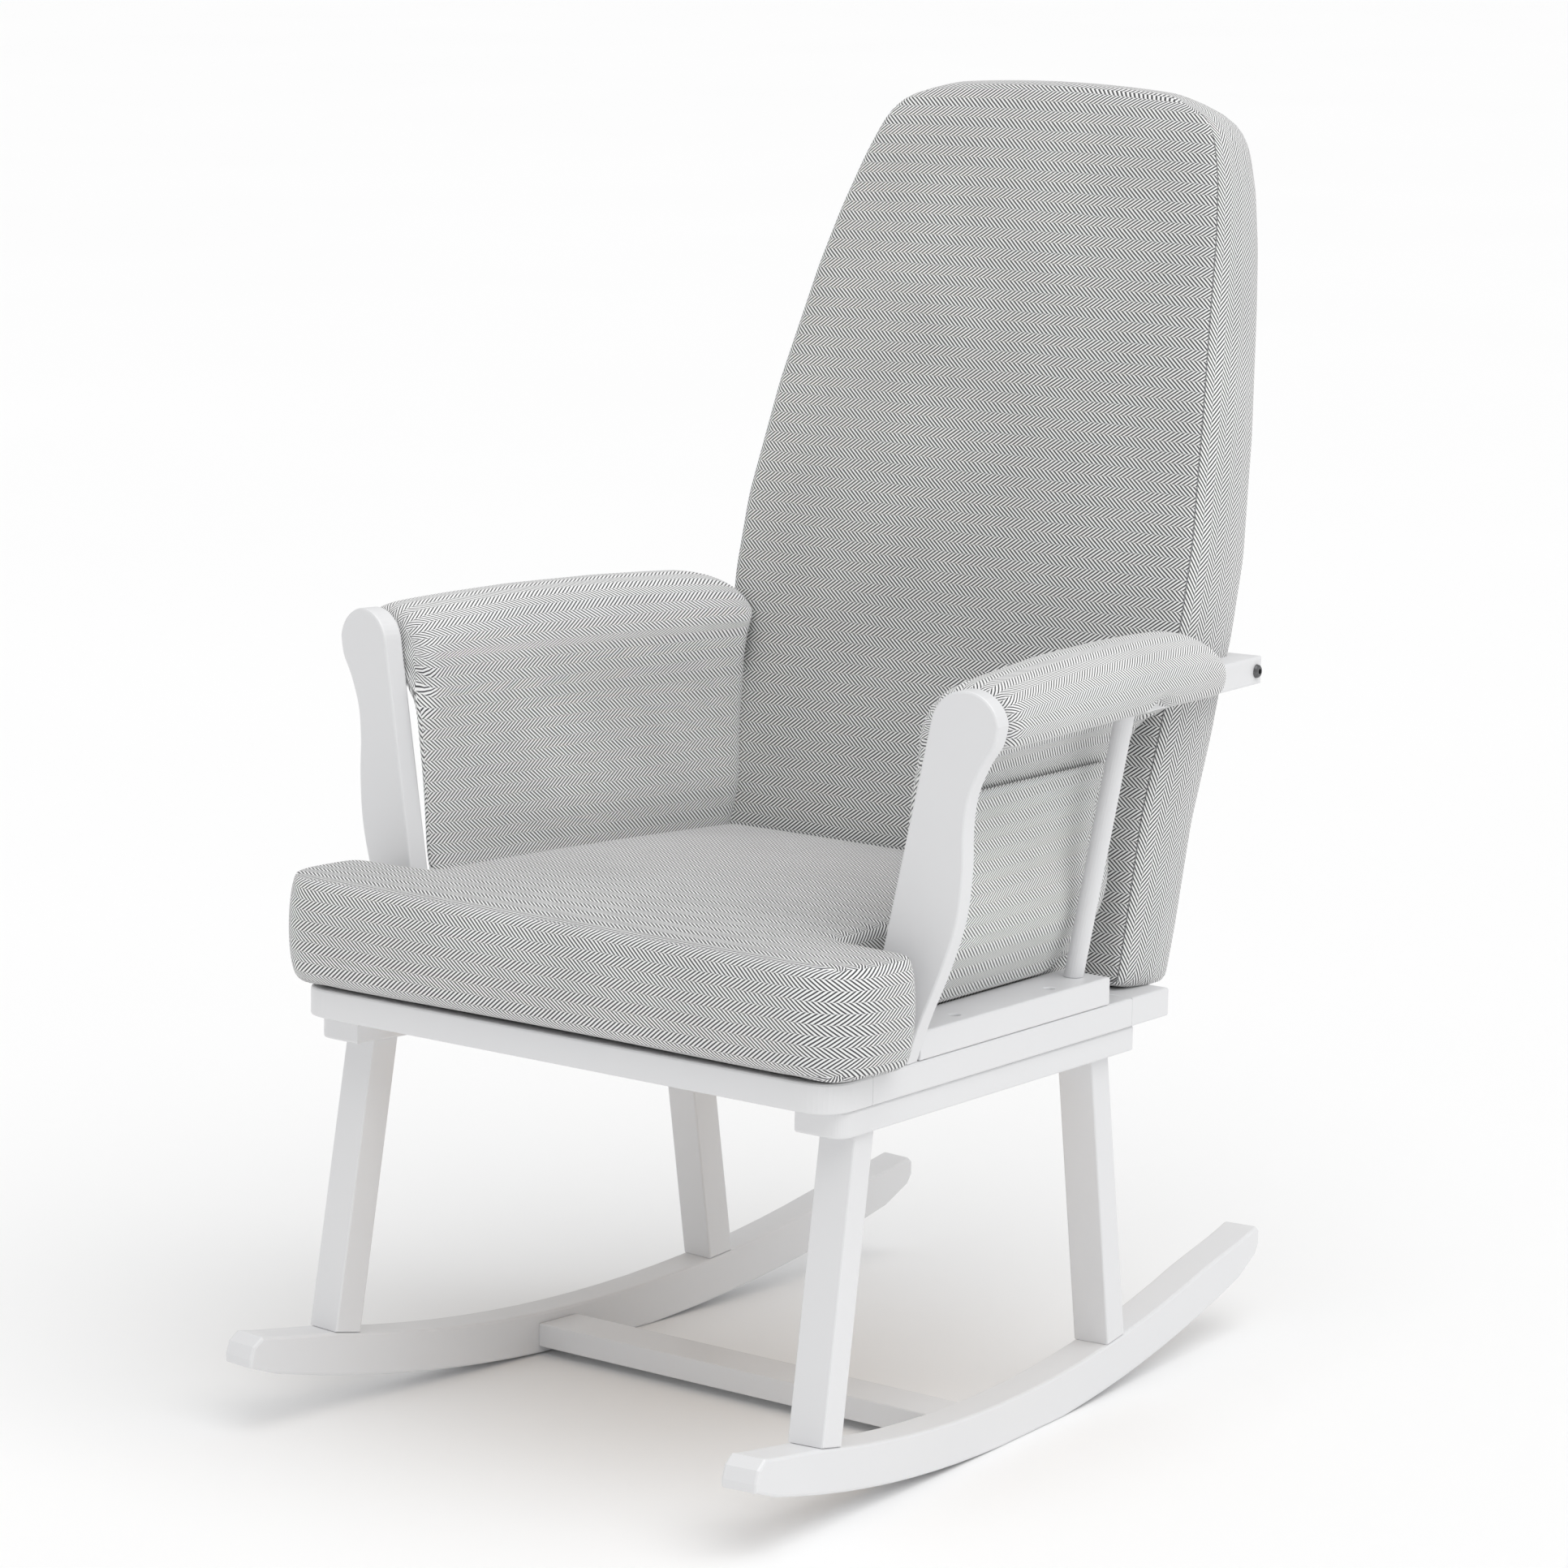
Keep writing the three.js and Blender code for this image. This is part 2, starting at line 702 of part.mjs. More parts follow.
function backHalf(up) {
  const above = backSections.findIndex((section) => section.up >= up);
  const high = backSections[Math.max(1, above)];
  const low = backSections[Math.max(1, above) - 1];
  const mix = (up - low.up) / (high.up - low.up);
  return THREE.MathUtils.lerp(low.half, high.half, mix);
}

// One rounded-rectangle ring across the back.
function backRing(up, half, front, rear, radius) {
  const ring = [];
  const corners = [
    [half - radius, rear - radius, 0],
    [-half + radius, rear - radius, 90],
    [-half + radius, front + radius, 180],
    [half - radius, front + radius, 270],
  ];
  for (const [x, w, start] of corners) {
    for (let k = 0; k <= 3; k += 1) {
      const angle = degrees(start + k * 30);
      ring.push(onBack(x + radius * Math.cos(angle), up, w + radius * Math.sin(angle)));
    }
  }
  return ring;
}

// The whole upholstered back as one solid, grown on every side.
function backEnvelope(grow) {
  return loft(backSections.map(({ up, half, thick }) => (
    backRing(up, half + grow, -thick - grow, grow, back.cornerRadius)
  )));
}

function buildBackCushion() {
  const skin = loft(backSections.map(({ up, half, thick }) => (
    backRing(up, half, -thick, -back.cover - GAP, back.cornerRadius)
  )));
  const levels = backSections.map(({ up }) => up).filter((up) => up > 5 && up < back.recessTop);
  const hollow = loft([-10, ...levels, back.recessTop].map((up) => (
    backRing(up, backHalf(Math.max(6, up)) - back.rim, -back.recess, 20, 2)
  )));
  add('back_cushion', subtract(skin, hollow), fabric);
  const cover = loft(backSections.map(({ up, half }) => (
    backRing(up, half - 1, -back.cover, 0, 1.2)
  )));
  add('back_cover', cover, fabric);
}

// A flat block on the back: centred across, between two heights and two depths.
function backBlock(centreX, width, low, high, front, rear) {
  const block = new THREE.BoxGeometry(width, high - low, rear - front);
  block.translate(centreX, (low + high) / 2, (front + rear) / 2);
  const across = new THREE.Vector3(-1, 0, 0);
  return place(block.translate(-2 * centreX, 0, 0), across, backUp, backRearward, backFoot);
}

function uprightFoot(rearward) {
  const seatTopAtFoot = seat.bottomZ + seat.thickness - (back.footY - seat.frontY) * Math.tan(seat.tilt);
  return (seatTopAtFoot + 1.2 - back.footZ + rearward * Math.sin(back.lean)) / Math.cos(back.lean);
}

function buildBackFrame() {
  const rear = -back.cover - 2 * GAP;
  const front = rear - back.uprightThickness;
  const side = outline([
    [rear, uprightFoot(rear)],
    [rear, back.uprightTop],
    [front, back.uprightTop],
    [front, uprightFoot(front)],
  ]);
  const upright = plainBoard(side, back.uprightWidth);
  const origin = backFoot.clone().setX(back.uprightX - back.uprightWidth / 2);
  place(upright, backRearward, backUp, new THREE.Vector3(1, 0, 0), origin);
  addPair('back_upright', upright, bareWood);
  back.slatLevels.forEach((level, i) => {
    const half = Math.min(backHalf(level), backHalf(level + back.slatHeight)) - back.rim - 2;
    const slatRear = front - GAP;
    const block = backBlock(
      0, 2 * half, level, level + back.slatHeight, slatRear - back.slatThickness, slatRear,
    );
    add(`back_slat_${i + 1}`, block, bareWood);
  });
}

// The rail behind the back, bolted between the rear ends of the two arm rails.
function buildCrossRail() {
  const behind = (point) => point.clone().applyMatrix4(seatMatrix);
  const inner = arm.railAcross - arm.railWidth / 2;
  const low = behind(alongArm(inner, arm.railLength - arm.boltInset, arm.railBottom));
  const height = arm.railTop - arm.railBottom;
  const rearY = crossRail.front + crossRail.thickness;
  const slope = Math.tan(arm.turn);
  const innerAt = (y) => low.x - (y - low.y) * slope - 2 * GAP;
  const shape = outline([
    [-innerAt(crossRail.front), crossRail.front],
    [innerAt(crossRail.front), crossRail.front],
    [innerAt(rearY), rearY],
    [-innerAt(rearY), rearY],
  ]);
  add('back_cross_rail', board(shape, height, 1.5).translate(0, 0, low.z), paint);
}

// ---- seat cushion -------------------------------------------------------------------------------------

// T-shaped cushion: its front wings pass in front of the two arm posts.
function buildSeatCushion() {
  const { front, rear, wingRear, wingHalf, bodyHalf, rearHalf, cornerRadius: r } = cushion;
  const wingRearRadius = 24;
  const wingCorner = wingRear - wingRearRadius;
  const shape = new THREE.Shape();
  shape.moveTo(rearHalf, rear);
  shape.lineTo(-rearHalf, rear);
  shape.lineTo(-bodyHalf, wingRear + 2);
  shape.lineTo(-wingHalf + wingRearRadius, wingRear);
  shape.quadraticCurveTo(-wingHalf, wingRear, -wingHalf, wingCorner);
  shape.lineTo(-wingHalf, front + r);
  shape.quadraticCurveTo(-wingHalf, front, -wingHalf + r, front);
  shape.lineTo(wingHalf - r, front);
  shape.quadraticCurveTo(wingHalf, front, wingHalf, front + r);
  shape.lineTo(wingHalf, wingCorner);
  shape.quadraticCurveTo(wingHalf, wingRear, wingHalf - wingRearRadius, wingRear);
  shape.lineTo(bodyHalf, wingRear + 2);
  const geometry = board(shape, cushion.top - cushion.bottom, cushion.edge, 8);
  add('seat_cushion', lift(geometry, cushion.bottom), fabric);
}

// ---- assembly -----------------------------------------------------------------------------------------

buildUnderframe();
buildStretcher();
buildSeatFrame();
buildSeatSlats();
buildPosts();
buildBaseRails();
buildArmRails();
buildArmBolts();
buildSpindles();
buildArmPads();
buildArmStraps();
buildPanels();
buildBackFrame();
buildBackCushion();
buildCrossRail();
buildSeatCushion();

// The origin goes to the middle of the footprint, on the floor.
const bounds = new THREE.Box3().setFromObject(chair);
const middleY = (bounds.min.y + bounds.max.y) / 2;
for (const mesh of chair.children) {
  mesh.geometry.translate(0, -middleY, -bounds.min.z);
}

export default chair;
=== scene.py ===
"""Rocking chair: white painted frame with herringbone cushions, padded arms and pockets."""
import json
import math

import bpy
import numpy as np
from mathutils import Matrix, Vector


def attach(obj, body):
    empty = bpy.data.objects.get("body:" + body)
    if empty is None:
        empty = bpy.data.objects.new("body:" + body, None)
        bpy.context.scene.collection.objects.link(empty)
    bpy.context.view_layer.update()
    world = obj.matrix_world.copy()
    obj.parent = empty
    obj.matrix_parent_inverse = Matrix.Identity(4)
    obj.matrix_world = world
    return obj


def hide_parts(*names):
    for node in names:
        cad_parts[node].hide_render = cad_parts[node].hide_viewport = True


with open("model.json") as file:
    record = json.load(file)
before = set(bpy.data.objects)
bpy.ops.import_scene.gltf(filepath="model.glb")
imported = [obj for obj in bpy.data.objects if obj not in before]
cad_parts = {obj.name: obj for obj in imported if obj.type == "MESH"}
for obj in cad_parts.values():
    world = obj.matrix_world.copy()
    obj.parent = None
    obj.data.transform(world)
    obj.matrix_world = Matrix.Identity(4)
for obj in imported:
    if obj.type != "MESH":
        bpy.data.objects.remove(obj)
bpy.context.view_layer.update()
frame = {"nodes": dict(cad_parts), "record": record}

# ---- dimensions shared with the CAD, in metres --------------------------------------------------

CENTRING = 0.0095                 # how far forward the chair is moved to stand centred
SEAT_FRONT = -0.309 - CENTRING
SEAT_Z = 0.3424
SEAT_TILT = math.radians(2)
SEAT_SLOPE = 0.0852

ARM_TURN = math.radians(8.5)
POST_THICKNESS = 0.019
POST_INNER = (0.2377, 0.1026)
RAIL_ACROSS = 0.0855

BACK_FOOT = (0.221 - CENTRING, 0.348)
BACK_LEAN = math.radians(15.3)
# height up the back, half width at the front seam, thickness
BACK_SECTIONS = np.array([
    (-0.014, 0.2265, 0.058),
    (0.060, 0.2285, 0.063),
    (0.141, 0.2310, 0.070),
    (0.220, 0.2400, 0.076),
    (0.248, 0.2420, 0.078),
    (0.304, 0.2460, 0.081),
    (0.374, 0.2450, 0.082),
    (0.480, 0.2330, 0.080),
    (0.589, 0.2160, 0.073),
    (0.641, 0.2065, 0.067),
    (0.691, 0.1940, 0.061),
    (0.726, 0.1810, 0.058),
    (0.747, 0.1670, 0.055),
    (0.757, 0.1440, 0.052),
    (0.762, 0.1180, 0.050),
])


def seat_point(x, y, z):
    """Seat coordinates (across, back from the seat front, up) to the chair's."""
    c, s = math.cos(SEAT_TILT), math.sin(SEAT_TILT)
    return Vector((x, SEAT_FRONT + y * c + z * s, SEAT_Z - y * s + z * c))


def back_point(x, up, rearward):
    """Back coordinates (across, up the back, out of its rear face) to the chair's."""
    c, s = math.cos(BACK_LEAN), math.sin(BACK_LEAN)
    return Vector((
        x,
        BACK_FOOT[0] + up * s + rearward * c,
        BACK_FOOT[1] + up * c - rearward * s,
    ))


def place_on_back(point):
    """How far up the back a point of the chair is, and how far out of its rear face."""
    c, s = math.cos(BACK_LEAN), math.sin(BACK_LEAN)
    dy, dz = point.y - BACK_FOOT[0], point.z - BACK_FOOT[1]
    return dy * s + dz * c, dy * c - dz * s


def move_forward(point, distance):
    """Moves a point out of the back's front face."""
    point.y -= distance * math.cos(BACK_LEAN)
    point.z += distance * math.sin(BACK_LEAN)


def arm_point(across, along, height):
    """Arm coordinates of the right arm (across it, back from the post, up) to the seat's."""
    c, s = math.cos(ARM_TURN), math.sin(ARM_TURN)
    start_x = POST_INNER[0] - POST_THICKNESS * s
    start_y = POST_INNER[1] + POST_THICKNESS * c
    return start_x + across * c - along * s, start_y + across * s + along * c, height


def lerp(a, b, t):
    return a + (b - a) * t


def at_height(table, height, column=1):
    """A table's value at a height, which is its first column."""
    return float(np.interp(height, table[:, 0], table[:, column]))


def quarter_circle(a, b):
    """Draws the square corner at (1, 1) in to a quarter circle about (0, 0)."""
    return a * math.sqrt(1 - b * b / 2), b * math.sqrt(1 - a * a / 2)


# ---- node helpers -------------------------------------------------------------------------------

def new_material(name):
    material = bpy.data.materials.new(name)
    material.use_nodes = True
    tree = material.node_tree
    return material, tree, tree.nodes["Principled BSDF"]


def math_node(tree, operation, a, b=None):
    node = tree.nodes.new("ShaderNodeMath")
    node.operation = operation
    for socket, value in zip(node.inputs, (a, b)):
        if value is None:
            continue
        if isinstance(value, (int, float)):
            socket.default_value = value
        else:
            tree.links.new(value, socket)
    return node.outputs[0]


def noise_node(tree, vector, scale, detail=2.0, roughness=0.5):
    node = tree.nodes.new("ShaderNodeTexNoise")
    node.inputs["Scale"].default_value = scale
    node.inputs["Detail"].default_value = detail
    node.inputs["Roughness"].default_value = roughness
    tree.links.new(vector, node.inputs["Vector"])
    return node.outputs["Fac"]


def range_node(tree, value, low, high, to_low=0.0, to_high=1.0, smooth_step=False):
    node = tree.nodes.new("ShaderNodeMapRange")
    if smooth_step:
        node.interpolation_type = "SMOOTHSTEP"
    tree.links.new(value, node.inputs["Value"])
    node.inputs["From Min"].default_value = low
    node.inputs["From Max"].default_value = high
    node.inputs["To Min"].default_value = to_low
    node.inputs["To Max"].default_value = to_high
    return node.outputs["Result"]


def mix_colour(tree, factor, a, b, blend="MIX"):
    node = tree.nodes.new("ShaderNodeMix")
    node.data_type = "RGBA"
    node.blend_type = blend
    for socket, value in ((node.inputs["Factor"], factor), (node.inputs[6], a), (node.inputs[7], b)):
        if isinstance(value, (int, float)):
            socket.default_value = value
        elif isinstance(value, tuple):
            socket.default_value = (*value, 1.0)
        else:
            tree.links.new(value, socket)
    return node.outputs[2]


def bump_node(tree, height, strength, distance, normal=None):
    node = tree.nodes.new("ShaderNodeBump")
    node.inputs["Strength"].default_value = strength
    node.inputs["Distance"].default_value = distance
    tree.links.new(height, node.inputs["Height"])
    if normal is not None:
        tree.links.new(normal, node.inputs["Normal"])
    return node.outputs["Normal"]


def object_coordinates(tree):
    return tree.nodes.new("ShaderNodeTexCoord").outputs["Object"]


# ---- materials ----------------------------------------------------------------------------------

# Width of a zigzag row, pitch of the stripes along it and their slope; how soft a stripe's edge is.
HERRINGBONE = {"band": 0.0090, "period": 0.0046, "slope": 1.3, "softness": 0.22}
# A sewn line is drawn where the map "seam" rises through this range.
STITCH = (0.86, 0.98)
STITCH_DARKNESS = 0.6
STITCH_DEPTH = 3.0                # in thicknesses of a stripe
LIGHT_THREAD = (0.97, 0.97, 0.965)
DARK_THREAD = (0.04, 0.04, 0.045)


def herringbone_material(name, light_share):
    """Broken zigzag weave on the map "weave", which is in metres, with the seams' sewn lines."""
    material, tree, shader = new_material(name)
    place = object_coordinates(tree)
    weave = tree.nodes.new("ShaderNodeUVMap")
    weave.uv_map = "weave"
    split = tree.nodes.new("ShaderNodeSeparateXYZ")
    tree.links.new(weave.outputs["UV"], split.inputs[0])
    drift = range_node(tree, noise_node(tree, place, 14.0, 2.0), 0.0, 1.0, -0.0012, 0.0012)
    waver = range_node(tree, noise_node(tree, place, 120.0, 1.0), 0.0, 1.0, -0.0003, 0.0003)
    along = math_node(tree, "ADD", split.outputs["X"], waver)
    across = math_node(tree, "ADD", split.outputs["Y"], drift)

    fold = math_node(tree, "PINGPONG", across, HERRINGBONE["band"])
    leaning = math_node(tree, "MULTIPLY", fold, HERRINGBONE["slope"])
    row = math_node(tree, "FLOOR", math_node(tree, "DIVIDE", across, HERRINGBONE["band"]))
    turned = math_node(tree, "FLOORED_MODULO", row, 2.0)
    broken = math_node(tree, "MULTIPLY", turned, HERRINGBONE["period"] / 2)
    position = math_node(tree, "ADD", math_node(tree, "ADD", along, leaning), broken)
    turns = 2 * math.pi / HERRINGBONE["period"]
    wave = math_node(tree, "SINE", math_node(tree, "MULTIPLY", position, turns))
    edge = -math.sin(math.pi * (light_share - 0.5))
    softness = HERRINGBONE["softness"]
    stripe = range_node(tree, wave, edge - softness, edge + softness, smooth_step=True)

    slub = noise_node(tree, place, 900.0, 2.0, 0.6)
    cloud = noise_node(tree, place, 9.0, 2.0)
    light = mix_colour(tree, range_node(tree, slub, 0.3, 0.7), (0.86, 0.86, 0.86), LIGHT_THREAD)
    dark = mix_colour(tree, range_node(tree, slub, 0.3, 0.7), DARK_THREAD, (0.09, 0.09, 0.095))
    cloth = mix_colour(tree, stripe, dark, light)
    shade = range_node(tree, cloud, 0.3, 0.7, 0.95, 1.02)
    shaded = mix_colour(tree, 1.0, cloth, shade, "MULTIPLY")

    seam = tree.nodes.new("ShaderNodeAttribute")
    seam.attribute_name = "seam"
    stitch = range_node(tree, seam.outputs["Fac"], *STITCH, smooth_step=True)
    darkness = math_node(tree, "MULTIPLY", stitch, STITCH_DARKNESS)
    sewn = mix_colour(tree, darkness, shaded, (0.06, 0.06, 0.065))
    tree.links.new(sewn, shader.inputs["Base Color"])

    weft = math_node(tree, "MULTIPLY", slub, 0.3)
    raised = math_node(tree, "ADD", stripe, weft)
    sunk = math_node(tree, "SUBTRACT", raised, math_node(tree, "MULTIPLY", stitch, STITCH_DEPTH))
    weave_bump = bump_node(tree, sunk, 0.25, 0.0003)
    undulation = noise_node(tree, place, 22.0, 3.0)
    tree.links.new(bump_node(tree, undulation, 0.22, 0.004, weave_bump), shader.inputs["Normal"])
    shader.inputs["Roughness"].default_value = 0.92
    shader.inputs["Sheen Weight"].default_value = 0.25
    shader.inputs["Sheen Roughness"].default_value = 0.5
    shader.inputs["Specular IOR Level"].default_value = 0.2
    return material


def paint_material():
    """Satin white lacquer over close-grained wood, a little uneven in tone and gloss."""
    material, tree, shader = new_material("satin_white_paint")
    place = object_coordinates(tree)
    stretched = tree.nodes.new("ShaderNodeMapping")
    stretched.inputs["Scale"].default_value = (1.0, 0.12, 0.12)
    tree.links.new(place, stretched.inputs["Vector"])
    grain = noise_node(tree, stretched.outputs["Vector"], 220.0, 4.0, 0.6)
    cloud = noise_node(tree, place, 6.0, 3.0)
    colour = mix_colour(tree, cloud, (0.765, 0.77, 0.785), (0.80, 0.80, 0.805))
    tree.links.new(colour, shader.inputs["Base Color"])
    ripple = noise_node(tree, place, 420.0, 2.0)
    rough = range_node(tree, noise_node(tree, place, 30.0, 3.0), 0.2, 0.8, 0.30, 0.42)
    tree.links.new(rough, shader.inputs["Roughness"])
    rippled = bump_node(tree, ripple, 0.10, 0.0002)
    tree.links.new(bump_node(tree, grain, 0.12, 0.0002, rippled), shader.inputs["Normal"])
    shader.inputs["Coat Weight"].default_value = 0.25
    shader.inputs["Coat Roughness"].default_value = 0.25
    return material


def bare_wood_material():
    """Planed beech slats."""
    material, tree, shader = new_material("bare_beech")
    place = object_coordinates(tree)
    stretched = tree.nodes.new("ShaderNodeMapping")
    stretched.inputs["Scale"].default_value = (0.12, 1.0, 1.0)
    tree.links.new(place, stretched.inputs["Vector"])
    grain = noise_node(tree, stretched.outputs["Vector"], 160.0, 5.0, 0.65)
    fleck = noise_node(tree, stretched.outputs["Vector"], 900.0, 1.0)
    streak = range_node(tree, grain, 0.3, 0.7)
    colour = mix_colour(tree, streak, (0.62, 0.43, 0.25), (0.74, 0.56, 0.36))
    flecks = range_node(tree, fleck, 0.55, 0.75, 0.0, 0.35)
    flecked = mix_colour(tree, flecks, colour, (0.42, 0.27, 0.15))
    tree.links.new(flecked, shader.inputs["Base Color"])
    tree.links.new(bump_node(tree, grain, 0.2, 0.0003), shader.inputs["Normal"])
    shader.inputs["Roughness"].default_value = 0.6
    return material


def steel_material():
    """Dark plated fasteners with fine turning marks."""
    material, tree, shader = new_material("zinc_steel")
    place = object_coordinates(tree)
    scratch = noise_node(tree, place, 1500.0, 3.0)
    colour = mix_colour(tree, scratch, (0.07, 0.07, 0.075), (0.22, 0.22, 0.225))
    tree.links.new(colour, shader.inputs["Base Color"])
    tree.links.new(range_node(tree, scratch, 0.2, 0.8, 0.3, 0.5), shader.inputs["Roughness"])
    tree.links.new(bump_node(tree, scratch, 0.2, 0.0001), shader.inputs["Normal"])
    shader.inputs["Metallic"].default_value = 1.0
    return material


def painted_recess_shade_material():
    """Screw heads painted near black: the painted shade deep in their holes."""
    material, tree, shader = new_material("screw_head_painted_recess_shade")
    place = object_coordinates(tree)
    scratch = noise_node(tree, place, 1200.0, 3.0)
    colour = mix_colour(tree, scratch, (0.05, 0.05, 0.055), (0.13, 0.13, 0.135))
    tree.links.new(colour, shader.inputs["Base Color"])
    tree.links.new(bump_node(tree, scratch, 0.3, 0.0001), shader.inputs["Normal"])
    shader.inputs["Roughness"].default_value = 0.6
    return material


def floor_material():
    """Seamless studio paper."""
    material, tree, shader = new_material("studio_paper")
    place = object_coordinates(tree)
    tone = noise_node(tree, place, 0.8, 2.0)
    colour = mix_colour(tree, tone, (0.93, 0.93, 0.93), (0.95, 0.95, 0.95))
    tree.links.new(colour, shader.inputs["Base Color"])
    shader.inputs["Roughness"].default_value = 0.8
    return material


# ---- grids and panels ---------------------------------------------------------------------------

class Panels:
    """Vertices and faces of a sewn piece, with a weave position for every face corner.

    seam says how much of a seam each vertex is, and boxing which faces have the boxing's cloth.
    """

    def __init__(self):
        self.points = []
        self.faces = []
        self.weave = []
        self.seam = {}
        self.boxing = set()

    def point(self, place):
        self.points.append(Vector(place))
        return len(self.points) - 1

    def grid(self, indices, weave_at, flip=False):
        """Faces over a 2-D list of vertex indices; None leaves a hole."""
        for j in range(len(indices) - 1):
            for i in range(len(indices[0]) - 1):
                corners = [(i, j), (i + 1, j), (i + 1, j + 1), (i, j + 1)]
                if flip:
                    corners.reverse()
                face = [indices[b][a] for a, b in corners]
                if None in face:
                    continue
                self.faces.append(face)
                self.weave.append([weave_at(a, b) for a, b in corners])

    def make(self, name, material, boxing=None):
        mesh = bpy.data.meshes.new(name)
        mesh.from_pydata(self.points, [], self.faces)
        uv = mesh.uv_layers.new(name="weave")
        flat = [value for face in self.weave for corner in face for value in corner]
        uv.data.foreach_set("uv", flat)
        seam = mesh.attributes.new("seam", "FLOAT", "POINT")
        seam.data.foreach_set("value", [self.seam.get(i, 0.0) for i in range(len(mesh.vertices))])
        mesh.materials.append(material)
        if boxing is not None:
            mesh.materials.append(boxing)
            slots = [int(i in self.boxing) for i in range(len(self.faces))]
            mesh.polygons.foreach_set("material_index", slots)
        mesh.polygons.foreach_set("use_smooth", [True] * len(mesh.polygons))
        mesh.update()
        piece = bpy.data.objects.new(name, mesh)
        bpy.context.scene.collection.objects.link(piece)
        return piece


def boundary_loop(faces):
    """The vertices round the rim of a set of faces, in order."""
    edges = [edge for face in faces for edge in zip(face, face[1:] + face[:1])]
    known = set(edges)
    nexts = {a: b for a, b in edges if (b, a) not in known}
    start = min(nexts)
    loop = [start]
    while nexts[loop[-1]] != start:
        loop.append(nexts[loop[-1]])
    return loop


BULGE_FULLNESS = 0.6              # below 1, the boxing's bulge is fuller than half a sine wave


def boxed(panels, front_faces, rear_of, layers, bulge, seam):
    """Boxing between a front panel's rim and a rear panel's rim.

    rear_of gives the rear panel's vertex for each front one; the boxing stands out by bulge halfway.
    """
    rim = boundary_loop(front_faces)
    count = len(rim)
    lengths = [0.0]
    outward = []
    for k in range(count):
        here, ahead, behind = (panels.points[rim[(k + d) % count]] for d in (0, 1, -1))
        lengths.append(lengths[-1] + (ahead - here).length)
        outward.append((ahead - behind).cross(here - panels.points[rear_of[rim[k]]]).normalized())
    rows = [rim + rim[:1]]
    for layer in range(1, layers):
        t = layer / layers
        out = bulge * math.sin(math.pi * t) ** BULGE_FULLNESS
        row = []
        for index, away in zip(rim, outward):
            a, b = panels.points[index], panels.points[rear_of[index]]
            row.append(panels.point(a.lerp(b, t) + away * out))
        rows.append(row + row[:1])
    rear = [rear_of[index] for index in rim]
    rows.append(rear + rear[:1])
    depth = (panels.points[rim[0]] - panels.points[rear_of[rim[0]]]).length

    def weave_at(i, j):
        return lengths[i], depth * j / layers
    first = len(panels.faces)
    panels.grid(rows, weave_at, flip=True)
    panels.boxing.update(range(first, len(panels.faces)))
    panels.seam.update({index: seam for index in rim + rear})


# ---- soft shapes --------------------------------------------------------------------------------

CLOTH_FRAMES = 20
CLOTH_STIFFNESS = 15.0
CLOTH_SHEAR = 9.0
CLOTH_BENDING = 0.5


def places(mesh):
    """The mesh's vertices as rows of an array."""
    flat = np.empty(len(mesh.vertices) * 3)
    mesh.vertices.foreach_get("co", flat)
    return flat.reshape(-1, 3)


def relax_with_cloth(piece, pressure, cap, hold_seams=False):
    """Blows the piece up like stuffing does, with Blender's cloth, and keeps the result as its mesh.

    No vertex moves further than cap.
    """
    before = places(piece.data)
    cloth = piece.modifiers.new("stuffing", "CLOTH")
    settings = cloth.settings
    settings.use_pressure = True
    settings.uniform_pressure_force = pressure
    settings.tension_stiffness = CLOTH_STIFFNESS
    settings.compression_stiffness = CLOTH_STIFFNESS
    settings.shear_stiffness = CLOTH_SHEAR
    settings.bending_stiffness = CLOTH_BENDING
    settings.effector_weights.gravity = 0.0
    held = piece.vertex_groups.new(name="seams")
    if hold_seams:
        seam = piece.data.attributes["seam"].data
        sewn = [i for i, entry in enumerate(seam) if entry.value > 0.5]
        held.add(sewn, 1.0, "REPLACE")
        settings.vertex_group_mass = held.name
    cloth.collision_settings.use_collision = False
    cloth.point_cache.frame_start = 1
    cloth.point_cache.frame_end = CLOTH_FRAMES
    scene = bpy.context.scene
    for number in range(1, CLOTH_FRAMES + 1):
        scene.frame_set(number)
    evaluated = piece.evaluated_get(bpy.context.evaluated_depsgraph_get())
    after = places(evaluated.data)
    piece.modifiers.remove(cloth)
    piece.vertex_groups.remove(held)
    scene.frame_set(1)
    move = after - before
    length = np.linalg.norm(move, axis=1, keepdims=True)
    move *= np.minimum(1.0, cap / np.maximum(length, 1e-9))
    piece.data.vertices.foreach_set("co", (before + move).ravel())
    piece.data.update()


def settle(piece, rounds):
    """Eases creases out of a taut piece."""
    modifier = piece.modifiers.new("settle", "SMOOTH")
    modifier.factor = 0.5
    modifier.iterations = rounds


def finish_soft(piece, body, nodes):
    """Smooths a soft piece, names its body and hides the CAD nodes it replaces."""
    modifier = piece.modifiers.new("smooth", "SUBSURF")
    modifier.levels = 1
    modifier.render_levels = 1
    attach(piece, body)
    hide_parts(*nodes)


# ---- back cushion -------------------------------------------------------------------------------

BACK_COLUMNS = 40
BACK_ROWS = 66
BACK_LAYERS = 8
BACK_BOTTOM = -0.006
BACK_TOP = 0.762
BACK_TOP_CROWN = 0.005            # how much higher the top is in its middle
BACK_FRONT_CROWN = 0.004          # how much further forward the front is in its middle
BACK_BULGE = 0.006
REAR_TUCK = 0.003                 # the rear is narrower than the front by this on each side
REAR_GAP = 0.0005
# How far its sides roll out behind its flat rear, by height up the back.
REAR_ROLL = np.array([(0.050, 0.019), (0.150, 0.013), (0.270, 0.005)])
